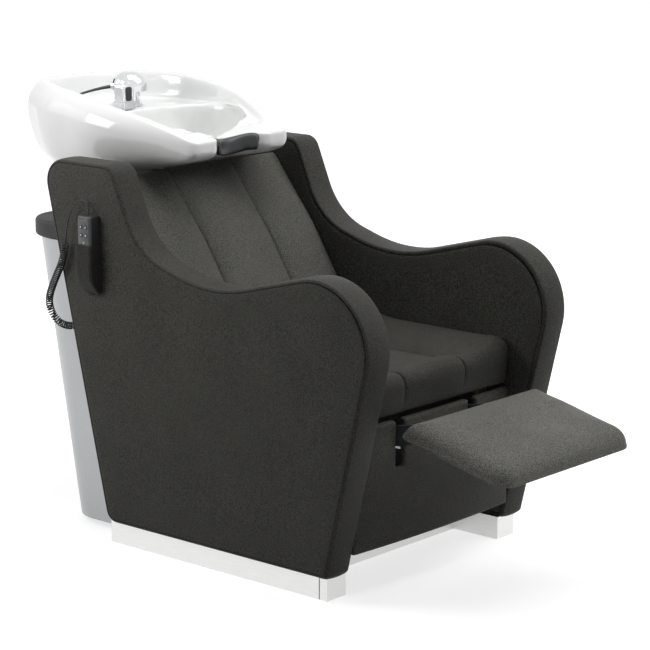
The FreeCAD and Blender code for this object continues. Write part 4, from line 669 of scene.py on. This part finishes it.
def curled(line, turn_points):
    """Curl wound round a line, straight at both ends and opening out over two turns."""
    lengths = [0.0]
    for a, b in zip(line, line[1:]):
        lengths.append(lengths[-1] + (b - a).length)
    whole = lengths[-1]
    turns = round(whole / CURL_PITCH)
    count = turns * turn_points
    side = (line[1] - line[0]).orthogonal().normalized()
    wound = []
    leg = 0
    for i in range(count + 1):
        reach = whole * i / count
        while leg < len(line) - 2 and lengths[leg + 1] < reach:
            leg += 1
        share = (reach - lengths[leg]) / (lengths[leg + 1] - lengths[leg])
        centre = line[leg].lerp(line[leg + 1], share)
        heading = (line[min(leg + 2, len(line) - 1)] - line[max(leg - 1, 0)]).normalized()
        side = (side - heading * side.dot(heading)).normalized()
        spread = min(1.0, max(0.0, (min(reach, whole - reach) - 2 * CORD_RADIUS) / (2 * CURL_PITCH)))
        radius = CURL_RADIUS * spread * spread * (3 - 2 * spread)
        angle = 2 * math.pi * i / turn_points
        around = side * math.cos(angle) + heading.cross(side) * math.sin(angle)
        wound.append(centre + around * radius)
    return wound


def handset_cord():
    """Thin cord from the handset: a free loop, then a curl that ends in the gland."""
    line = route_line(LEAD_ROUTE + CURL_ROUTE, 24)
    split = min(range(len(line)), key=lambda i: (line[i] - CURL_START).length)
    path = line[:split] + curled(line[split:], 14)
    cord = tube("handset_cord", path, CORD_RADIUS, 8)
    cord.data.materials.append(CORD_RUBBER)
    cord.data.shade_smooth()
    length = sum((b - a).length for a, b in zip(path, path[1:]))
    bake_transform(cord)
    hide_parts("handset_lead", "curly_cord")
    tuple(LEAD_ROUTE[0])
    [tuple(point) for point in path]


# Upholstery

BAND_LIP_OUT = 0.0066
BAND_LIP_IN = 0.0100
PANEL_POINTS = 420


def band_profile():
    """Section of the edge band as (across, out): soft corners, and a lip that goes down into each seam."""
    corner = 0.0055
    groove = 0.0014
    section = []
    for way, lip in ((-1, BAND_LIP_IN), (1, BAND_LIP_OUT)):
        half = [(PANEL_HALF - 0.004, -lip - 0.003), (PANEL_HALF - groove, -lip),
                (PANEL_HALF - 0.0002, -lip + 0.0012)]
        for step in range(6):
            angle = math.radians(18 * step)
            half.append((PANEL_HALF - corner + corner * math.cos(angle), -corner + corner * math.sin(angle)))
        half += [(0.024, 0.0008), (0.016, 0.0016), (0.008, 0.0021)]
        half = [(way * across, out) for across, out in half]
        section += half if way < 0 else [(0, 0.0022)] + half[::-1]
    return section


def edge_band(name, side):
    """Band sewn round the edge of a side panel."""
    loop = outline_points(SIDE_OUTLINE, 0.0, PANEL_POINTS)
    section = band_profile()
    rings = []
    for i, point in enumerate(loop):
        run = (loop[(i + 1) % len(loop)] - loop[i - 1]).normalized()
        out = Vector((run.y, -run.x))
        ring = []
        for across, rise in section:
            spot = point + out * rise
            ring.append((side * (PANEL_MIDDLE + across), spot.x, spot.y))
        rings.append(ring)
    band = loft(f"{name}_band", rings, wrap=True)
    dress(band, BAND_HIDE, "frame", "band_leather", f"{name}_edge_band", crease=60)


def side_pads(name, side):
    """Outer and inner pads of a side panel, sewn to the band along a fine groove."""
    for label, way, lip, crown in (("outer", 1, BAND_LIP_OUT, 0.0030), ("inner", -1, BAND_LIP_IN, 0.0016)):
        rings = [(lip + 0.002, -0.012), (lip, -0.0016), (lip + 0.0010, -0.0004), (lip + 0.0030, 0.0004),
                 (lip + 0.0080, 0.0010), (lip + 0.0160, 0.0014)]
        face = PANEL_MIDDLE + way * PANEL_HALF

        def place(y, z, rise, side=side, face=face, way=way):
            return (side * (face + way * rise), y, z)

        pad = padded_panel(f"{name}_{label}_skin", SIDE_OUTLINE, PANEL_POINTS, rings, crown, 0.05, place)
        dress(pad, HIDE, "frame", "side_leather", f"{name}_{label}_pad", crease=60)


def across_places():
    """Places across a cushion, closer together at the seams."""
    places = set()
    for side in (-1, 1):
        for step in (0.0, 0.0012, 0.0026, 0.0048, 0.008, 0.0125, 0.018):
            places.add(round(side * SEAM_PLACE + step, 5))
            places.add(round(side * SEAM_PLACE - step, 5))
        for step in range(11):
            places.add(round(side * step * 0.0075, 5))
        for step in range(16):
            places.add(round(side * (0.1265 + step * (CUSHION_HALF - 0.1265) / 15), 5))
    return sorted(places)


def drawn_in(x):
    """How far a channelled skin lies inside its full form at a place across the cushion."""
    seam = abs(abs(x) - SEAM_PLACE)
    notch = 0.0050 * math.exp(-(seam / 0.0020) ** 2) + 0.0034 * math.exp(-(seam / 0.014) ** 2)
    side = max(0.0, abs(x) - CUSHION_HALF + 0.03) / 0.03
    crown = 0.004 * (1 - (x / SEAM_PLACE) ** 2) if abs(x) < SEAM_PLACE else 0.0
    return notch + 0.011 * side ** 2.2 - crown


def channelled_cushion(name, node, finish, corners_at, place, held, points):
    """Cushion with two sewn channels, blown up between them."""
    rings = []
    for x in across_places():
        loop = even(rounded_loop(corners_at(x, drawn_in(x))), points)
        rings.append([place(x, point) for point in loop])
    cushion = loft(name, rings)
    puff(cushion, held, 4.0, 0.009)
    smoothed(cushion, 1)
    dress(cushion, finish, "frame", "seat_leather", node, crease=70)


def on_seam(x):
    return abs(abs(x) - SEAM_PLACE) < 0.0016 or abs(x) > CUSHION_HALF - 0.001


def dish(x):
    """Depth of the seat's dish: full between the seams, and fading out to the sides."""
    edge, fade = 0.2337, 0.1287
    least, added = 0.003, 0.030
    share = min(1.0, max(0.0, (edge - abs(x)) / fade))
    return least + added * share * share * (3 - 2 * share)


def seat():
    """Seat cushion, dished behind its front roll."""
    board = 0.377
    board_front = -0.3283
    wrap = 0.359
    rear = 0.109

    def corners_at(x, inset):
        top = 0.469 - inset
        hollow = top - dish(x)
        return [(board_front, board, 0.002), (rear, board, 0.002), (rear, 0.489 - inset, 0.006),
                (-0.020, hollow, 0.120), (-0.268, hollow, 0.045),
                (inset - 0.354, top - 0.4 * dish(x), 0.060), (-0.334, wrap, 0.006),
                (board_front, wrap, 0.002)]

    channelled_cushion("seat_pad", "seat_cushion", SEAT_HIDE_PAINTED_SHADE, corners_at,
                       lambda x, point: (x, point.x, point.y),
                       lambda co: on_seam(co.x) or co.z < 0.385 or co.y > 0.095, 128)


def back():
    """Reclined back cushion, thin at its top and a little higher in the middle, under the basin."""
    edge, raised = 0.393, 0.004
    raised_half, fade = 0.150, 0.030
    foot = Vector((0.112, 0.490))
    lean = Matrix.Rotation(-math.radians(36.3), 2)

    def corners_at(x, inset):
        top = edge + raised * min(1.0, max(0.0, (raised_half - abs(x)) / fade))
        return [(0.070, 0.0, 0.002), (0.070, 0.290, 0.022), (0.025, top, 0.006), (inset / 4, top, 0.007),
                (inset - 0.013, 0.193, 0.5), (inset, inset / 2, 0.011)]

    def place(x, point):
        spot = foot + lean @ point
        return (x, spot.x, spot.y)

    def held(co):
        local = lean.inverted() @ (Vector((co.y, co.z)) - foot)
        return on_seam(co.x) or local.x > 0.05 or local.y < 0.01 or local.y > 0.376

    channelled_cushion("back_pad", "back_cushion", BACK_HIDE_PAINTED_LIGHT, corners_at, place, held, 116)


def front_skirt():
    """Upholstered skirt under the seat, with notches for the footrest arms."""
    half = CUSHION_HALF
    notch = 0.013
    arm = 0.120
    low, top, notch_low = 0.088, 0.352, 0.250
    corners = [(-half, low, 0.006), (half, low, 0.006), (half, top, 0.006),
               (arm + notch, top, 0.003), (arm + notch, notch_low, 0.005), (arm - notch, notch_low, 0.005),
               (arm - notch, top, 0.003), (notch - arm, top, 0.003), (notch - arm, notch_low, 0.005),
               (-arm - notch, notch_low, 0.005), (-arm - notch, top, 0.003), (-half, top, 0.006)]

    def place(x, z, rise):
        bow = 0.0095 * (1 - (x / half) ** 2)
        return (x, -0.342 - bow - rise + 0.004, z)

    rings = [(0.0, -0.011), (0.0, -0.006), (0.0006, -0.002), (0.002, 0.0), (0.005, 0.0015), (0.009, 0.002)]
    skirt = padded_panel("skirt_pad", corners, 300, rings, 0.003, 0.03, place, 0.016)
    dress(skirt, HIDE, "frame", "side_leather", "front_skirt", crease=60)


def footrest():
    """Domed footrest pad, wrapped round its board and sewn underneath."""
    pivot = Vector((-0.2925, 0.305))
    slope = Matrix.Rotation(math.radians(13), 2)
    plan = [(-0.215, -0.385, 0.030), (0.215, -0.385, 0.030), (0.215, -0.126, 0.016), (-0.215, -0.126, 0.016)]
    levels = [(0.0695, 0.030), (0.0690, 0.008), (0.0692, -0.004), (0.0705, -0.0085), (0.0735, -0.0100),
              (0.0790, -0.0098), (0.0860, -0.0080), (0.0930, -0.0045), (0.1000, 0.0010), (0.1065, 0.009),
              (0.1118, 0.019), (0.1158, 0.031), (0.1188, 0.045), (0.1208, 0.060), (0.1222, 0.077),
              (0.1229, 0.094), (0.1232, 0.110)]
    rings = []
    for rise, inset in levels:
        ring = []
        for point in outline_points(plan, inset, 168):
            spot = pivot + slope @ Vector((point.y, rise))
            ring.append((point.x, spot.x, spot.y))
        rings.append(ring)
    cushion = loft("footrest_pad", rings)

    def held(co):
        local = slope.inverted() @ (Vector((co.y, co.z)) - pivot)
        return local.y < 0.074

    puff(cushion, held, 3.0, 0.004)
    smoothed(cushion, 1)
    dress(cushion, FOOT_HIDE_PAINTED_LIGHT, "footrest", "seat_leather", "footrest_cushion", "footrest_board", crease=70)


# Basin

BASIN_POINTS = 180
RIM_FRONT = 0.206
RECESS_Y = 0.190
RECESS_RADIUS = 0.072
RECESS_MOUTH = 0.092
TROUGH_CENTRE = 1.002
TROUGH_RADIUS = 0.1398
TROUGH_HALF = 0.139


def rim_height(y):
    """Height of the basin's rim, on the arc through its front, side and rear heights."""
    a, b, c = Vector((RIM_FRONT, 0.876)), Vector((0.430, 0.949)), Vector((0.738, 0.977))
    turn = 2 * (a.x * (b.y - c.y) + b.x * (c.y - a.y) + c.x * (a.y - b.y))
    centre = Vector(((a.dot(a) * (b.y - c.y) + b.dot(b) * (c.y - a.y) + c.dot(c) * (a.y - b.y)) / turn,
                     (a.dot(a) * (c.x - b.x) + b.dot(b) * (a.x - c.x) + c.dot(c) * (b.x - a.x)) / turn))
    radius = (a - centre).length
    return centre.y + math.sqrt(radius ** 2 - (y - centre.x) ** 2)


def trough(x):
    """Height of the shallow round notch for the neck in the front of the rim."""
    return TROUGH_CENTRE - math.sqrt(TROUGH_RADIUS ** 2 - x ** 2)


def recess(x):
    """Front of the rim in plan, set back in an arc between the two lobes."""
    bend = 0.060
    place = abs(x)
    if place < bend:
        return RECESS_Y + math.sqrt(RECESS_RADIUS ** 2 - x ** 2)
    if place > RECESS_MOUTH:
        return RIM_FRONT
    step = RECESS_Y + math.sqrt(RECESS_RADIUS ** 2 - bend ** 2) - RIM_FRONT
    return RIM_FRONT + step * ((RECESS_MOUTH - place) / (RECESS_MOUTH - bend)) ** 2


def from_front(loop, count):
    """Even points of a plan that start in the middle of its front."""
    fine = even(loop, 12 * count)
    start = min(range(len(fine)), key=lambda i: 10 * fine[i].y + abs(fine[i].x))
    fine = fine[start:] + fine[:start]
    return fine[::12]


def rim_plan(grow, front, front_half):
    """Plan of the basin, grown past its rim at the sides and rear."""
    half = [(front_half, front, 0.030), (0.213 + grow, 0.430, 0.260),
            (0.197 + grow, 0.600 + grow / 3, 0.200), (0.120 + grow / 2, 0.738 + grow, 0.105)]
    other_half = [(-x, y, radius) for x, y, radius in reversed(half)]
    return from_front(rounded_loop(half + other_half), BASIN_POINTS)


def oval_plan(half, front, rear, corner):
    return from_front(rounded_loop([(half, front, corner), (half, rear, corner), (-half, rear, corner),
                                    (-half, front, corner)]), BASIN_POINTS)


def basin():
    """Glazed basin: flat foot, bulged wall, rolled rim, tap deck and bowl, with a recess for the neck."""
    chest = 0.800
    rings = [[(p.x, p.y, 0.745) for p in oval_plan(0.108, 0.378, 0.636, 0.076)],
             [(p.x, p.y, 0.746) for p in oval_plan(0.112, 0.374, 0.640, 0.078)],
             [(p.x, p.y, 0.762) for p in oval_plan(0.124, 0.373, 0.668, 0.086)],
             [(p.x, p.y, 0.779) for p in rim_plan(-0.030, 0.373, 0.101)]]
    wall = [(0.0, -0.004, 0.366, 0.113), (0.12, 0.011, 0.312, 0.131), (0.27, 0.0205, 0.250, 0.143),
            (0.42, 0.0275, 0.219, 0.149), (0.57, 0.0325, 0.209, 0.152), (0.70, 0.0335, 0.206, 0.152),
            (0.81, 0.029, 0.206, 0.152), (0.90, 0.020, 0.206, 0.152), (0.965, 0.0105, 0.2065, 0.1515),
            (0.992, 0.005, 0.208, 0.150), (1.0, 0.001, 0.2115, 0.147), (0.998, -0.006, 0.221, 0.142),
            (0.997, -0.013, 0.238, 0.137)]
    for share, grow, front, half in wall:
        ring = []
        for p in rim_plan(grow, front, half):
            ring.append((p.x, p.y, chest + share * (rim_height(p.y) - chest)))
        rings.append(ring)
    for fall, grow, front, half in ((0.004, -0.0175, 0.256, 0.134), (0.012, -0.0195, 0.268, 0.132)):
        rings.append([(p.x, p.y, rim_height(p.y) - fall) for p in rim_plan(grow, front, half)])
    for level, grow, front, half in ((0.926, -0.0225, 0.277, 0.130), (0.917, -0.0265, 0.283, 0.128),
                                     (0.9152, -0.0330, 0.288, 0.126)):
        rings.append([(p.x, p.y, min(level, rim_height(p.y) - 0.016)) for p in rim_plan(grow, front, half)])
    bowl = [(0.9148, 0.1745, 0.2925, 0.517, 0.104), (0.911, 0.1715, 0.2955, 0.5135, 0.103),
            (0.900, 0.1695, 0.300, 0.511, 0.102), (0.872, 0.165, 0.318, 0.509, 0.092),
            (0.842, 0.157, 0.346, 0.506, 0.074), (0.812, 0.142, 0.362, 0.501, 0.060),
            (0.790, 0.122, 0.374, 0.496, 0.050), (0.776, 0.096, 0.388, 0.492, 0.046),
            (0.7695, 0.070, 0.402, 0.488, 0.040), (0.768, 0.036, 0.414, 0.482, 0.033)]
    for level, half, front, rear, corner in bowl:
        rings.append([(p.x, p.y, min(level, rim_height(max(p.y, RIM_FRONT)) - 0.017))
                      for p in oval_plan(half, front, rear, corner)])
    trough_end, rim_back = 0.330, 0.292
    shaped = []
    for ring in rings:
        moved = []
        for x, y, z in ring:
            if abs(x) < TROUGH_HALF and y < trough_end:
                z = min(z, trough(x))
            if y < rim_back:
                y += (recess(x) - RIM_FRONT) * min(1.0, (rim_back - y) / (rim_back - RIM_FRONT))
            moved.append((x, y, z))
        shaped.append(moved)
    form = loft("basin_glaze", shaped)
    smoothed(form, 2)
    dress(form, CERAMIC, "basin", "basin_ceramic", "basin", crease=80)


def neck_rest():
    """Soft band round the neck recess, rolled over the rim and drawn in to a point at each end."""
    profile = [(-0.0120, 0.0004), (-0.0132, 0.0020), (-0.0115, 0.0042), (-0.0060, 0.0052), (0.0000, 0.0052),
               (0.0050, 0.0036), (0.0082, -0.0004), (0.0095, -0.0070), (0.0098, -0.0150),
               (0.0096, -0.0230), (0.0084, -0.0295), (0.0055, -0.0325), (0.0025, -0.0320),
               (0.0008, -0.0290), (0.0006, -0.0150), (0.0006, -0.0020), (-0.0020, 0.0004)]
    half = [(66.5, 0.10), (66.2, 0.45), (65.2, 0.75), (63.0, 0.93), (59.0, 1.0), (50.0, 1.0), (40.0, 1.0),
            (30.0, 1.0), (20.0, 1.0), (10.0, 1.0)]
    heart_out, heart_drop = 0.004, 0.014
    rim_limit = 0.872
    places = [(-turn, size) for turn, size in half] + [(0.0, 1.0)]
    places += [(turn, size) for turn, size in reversed(half)]
    rings = []
    for turn, size in places:
        way = Vector((math.sin(math.radians(turn)), math.cos(math.radians(turn))))
        rim = min(trough(way.x * RECESS_RADIUS), rim_limit)
        ring = []
        for out, rise in profile:
            reach = RECESS_RADIUS - heart_out - size * (out - heart_out)
            level = rim - heart_drop + size * (rise + heart_drop)
            ring.append((way.x * reach, RECESS_Y + way.y * reach, level))
        rings.append(ring)
    rest = smoothed(loft("neck_saddle", rings), 1)
    dress(rest, NECK_RUBBER, "basin", "neck_rubber", "neck_rest", crease=60)


# Tap and hand shower

def lever():
    """Slim lever, curved down and tapered to a rounded tip."""
    heading = Vector((-0.819152, 0.573576, 0))
    across = Vector((-heading.y, heading.x, 0))
    rings = []
    for share, size in ((0.0, 0.5), (0.006, 0.8), (0.03, 1.0), (0.15, 1.0), (0.3, 1.0), (0.45, 1.0),
                        (0.6, 1.0), (0.75, 1.0), (0.88, 1.0), (0.95, 0.96), (0.985, 0.8), (1.0, 0.45)):
        reach = 0.020 + 0.110 * share
        level = 0.9612 - 0.022 * share ** 1.7
        wide = (0.0074 - 0.0014 * share) * size
        thick = (0.0048 - 0.0028 * share) * size
        spot = TAP_AXIS + heading * reach + Vector((0, 0, level))
        ring = []
        for step in range(16):
            angle = 2 * math.pi * step / 16
            flat = abs(math.cos(angle)) ** 0.6 * math.copysign(1, math.cos(angle))
            rise = abs(math.sin(angle)) ** 0.8 * math.copysign(1, math.sin(angle))
            ring.append(spot + across * wide * flat + Vector((0, 0, thick * rise)))
        rings.append(ring)
    blade = smoothed(loft("lever_blade", rings), 1)
    dress(blade, LEVER_FINISH, "mixer_lever", "lever_dark", "mixer_lever")
    collar = []
    for reach, radius in ((0.034, 0.0086), (0.0345, 0.0094), (0.040, 0.0096), (0.0455, 0.0094),
                          (0.046, 0.0084)):
        spot = TAP_AXIS + heading * reach + Vector((0, 0, 0.9608))
        ring = []
        for step in range(24):
            angle = 2 * math.pi * step / 24
            rise = Vector((0, 0, 0.74 * radius * math.sin(angle)))
            ring.append(spot + across * radius * math.cos(angle) + rise)
        collar.append(ring)
    dress(loft("lever_collar", collar), CHROME, "mixer_lever", "tap_chrome")


def hand_shower():
    """Chrome hand shower with soft edges, and a dark spray strip with its nozzles."""
    low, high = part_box("hand_shower")
    plan = box_plan(low.x, low.y, high.x, high.y, 0.004)
    rings = []
    for rise, inset in ((0.0, 0.002), (0.0005, 0.0005), (0.002, 0.0), (0.018, 0.0), (0.045, 0.0004),
                        (0.0500, 0.0010), (0.0530, 0.0024), (0.0550, 0.0052), (0.0558, 0.0090)):
        rings.append([(p.x, p.y, low.z + rise) for p in outline_points(plan, inset, 64)])
    dress(loft("shower_body", rings), CHROME, "hand_shower", "tap_chrome", "hand_shower")
    low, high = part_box("spray_plate")
    strip = box_plan(low.x, low.z, high.x, high.z, 0.006)
    rings = []
    for depth, inset in ((0.0015, 0.0), (-0.0002, 0.0), (-0.0006, 0.0006), (-0.0008, 0.0016)):
        rings.append([(p.x, low.y + depth, p.y) for p in outline_points(strip, inset, 48)])
    dress(loft("spray_strip", rings), DARK_PLASTIC, "hand_shower", "dark_plastic", "spray_plate")
    rows = []
    for column in (-1, 0, 1):
        x = (low.x + high.x) / 2 + 0.0055 * column
        y = low.y - 0.0008
        rows.append([Vector((x, y, low.z + 0.005)), Vector((x, y, high.z - 0.005))])
    beaded("spray_nozzles", rows, 0.0042, (0.0018, 0.0018, 0.0018), BUTTON_RUBBER,
           "hand_shower", "dark_plastic")


# Handset and its pocket

def handset():
    """Slim handset with a glossy face, and pale arrows on its buttons."""
    low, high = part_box("handset_shell")
    plan = box_plan(low.x, low.y, high.x, high.y, 0.006)
    rings = []
    for rise, inset in ((0.0, 0.004), (0.0008, 0.0016), (0.003, 0.0), (0.06, 0.0), (0.124, 0.0),
                        (0.1275, 0.0007), (0.1292, 0.0024), (0.130, 0.0055)):
        rings.append([(p.x, p.y, low.z + rise) for p in outline_points(plan, inset, 72)])
    dress(loft("handset_case", rings), HANDSET_PLASTIC, "handset", "handset_plastic", "handset_shell")
    face_half, face_low, face_high = 0.0155, 0.662, 0.7255
    face = box_plan(HANDSET_Y - face_half, face_low, HANDSET_Y + face_half, face_high, 0.006)
    rings = []
    for depth, inset in ((0.0012, 0.0), (0.0001, 0.0), (-0.0001, 0.0004)):
        rings.append([(low.x + depth, p.x, p.y) for p in outline_points(face, inset, 56)])
    dress(loft("handset_face", rings), FACE_PLASTIC, "handset", "handset_plastic")
    for number in range(1, 5):
        button_low, button_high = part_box(f"handset_button_{number}")
        middle = (button_low + button_high) / 2
        way = 1 if number > 2 else -1
        flat = button_low.x - 0.0003
        arrow = [(-0.0026, -0.0016), (0.0026, -0.0016), (0.0, 0.0026)]
        verts = []
        for x in (flat, button_low.x + 0.00003):
            verts += [(x, middle.y + u, middle.z + way * v) for u, v in arrow]
        faces = [(0, 1, 2), (5, 4, 3), (0, 3, 4, 1), (1, 4, 5, 2), (2, 5, 3, 0)]
        mark = piece_from(f"arrow_{number}", verts, faces)
        dress(mark, PRINT, f"button_{number}", "button_plastic")


def pocket():
    """Sewn pocket for the handset, with a hem at its mouth and a flange stitched to the panel."""
    half = 0.0237
    fold_top, fold_height, drawn = 0.604, 0.043, 0.62
    plan = [(POCKET_FRONT, HANDSET_Y - half, 0.006), (PANEL_FACE - 0.0005, HANDSET_Y - half, 0.0015),
            (PANEL_FACE - 0.0005, HANDSET_Y + half, 0.0015), (POCKET_FRONT, HANDSET_Y + half, 0.006)]
    levels = [(0.5600, 0.0060), (0.5606, 0.0034), (0.5630, 0.0012), (0.5680, 0.0003), (0.574, 0.0),
              (0.582, -0.0002), (0.590, -0.0004), (0.597, -0.0004), (0.604, -0.0005), (0.620, -0.0006),
              (0.650, -0.0002), (0.6568, 0.0002), (0.6574, -0.0008), (0.6650, -0.0009), (0.6672, -0.0002),
              (0.6678, 0.0010), (0.6670, 0.0021), (0.6600, 0.0024), (0.6400, 0.0024)]
    rings = []
    for level, inset in levels:
        fold = max(0.0, (fold_top - level) / fold_height)
        depth = 1 - drawn * fold ** 1.6
        ring = []
        for p in outline_points(plan, inset, 96):
            ring.append((PANEL_FACE + (p.x - PANEL_FACE) * depth, p.y, level))
        rings.append(ring)
    body = loft("pocket_body", rings, caps=(True, False))
    dress(body, POCKET_HIDE, "frame", "pocket_leather", "handset_pocket")
    low_y, high_y = HANDSET_Y - half - 0.015, HANDSET_Y + half + 0.015
    outline = [(low_y + 0.020, 0.553, 0.006), (high_y, 0.553, 0.014), (high_y, 0.667, 0.003),
               (low_y, 0.667, 0.003), (low_y, 0.578, 0.008)]

    def place(y, z, rise):
        return (PANEL_FACE - 0.0022 - rise, y, z)

    rings = [(0.0, -0.0016), (0.0, 0.0), (0.0005, 0.0006), (0.0016, 0.0009)]
    flange = padded_panel("pocket_flange", outline, 140, rings, 0.0003, 0.01, place, 0.010)
    dress(flange, POCKET_HIDE, "frame", "pocket_leather", crease=60)
    seam = [Vector((PANEL_FACE - 0.0033, p.x, p.y)) for p in outline_points(outline, 0.0042, 150)]
    beaded("pocket_stitches", [seam + seam[:1]], 0.0046, (0.0033, 0.0008, 0.0008), THREAD,
           "frame", "pocket_leather")


def plinth_joints():
    """Fine open joint where each plinth's front end closes on its side."""
    for name, side in (("left", 1), ("right", -1)):
        low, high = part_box(f"{name}_plinth")
        outer = high.x if side > 0 else low.x
        y = low.y + 0.020
        verts = []
        for depth in (-0.0004, 0.0003):
            for along in (0.0, 0.0018):
                verts += [(outer + side * depth, y + along, z) for z in (low.z + 0.001, high.z - 0.0005)]
        faces = [(0, 1, 3, 2), (4, 6, 7, 5), (0, 4, 5, 1), (2, 3, 7, 6), (0, 2, 6, 4), (1, 5, 7, 3)]
        dress(piece_from(f"{name}_plinth_joint", verts, faces), JOINT_LINE, "frame", "dark_plastic")


finish_solids()
studio()
handset_cord()
for panel_name, panel_side in (("left", 1), ("right", -1)):
    edge_band(panel_name, panel_side)
    side_pads(panel_name, panel_side)
seat()
back()
front_skirt()
footrest()
basin()
neck_rest()
lever()
hand_shower()
handset()
pocket()
plinth_joints()
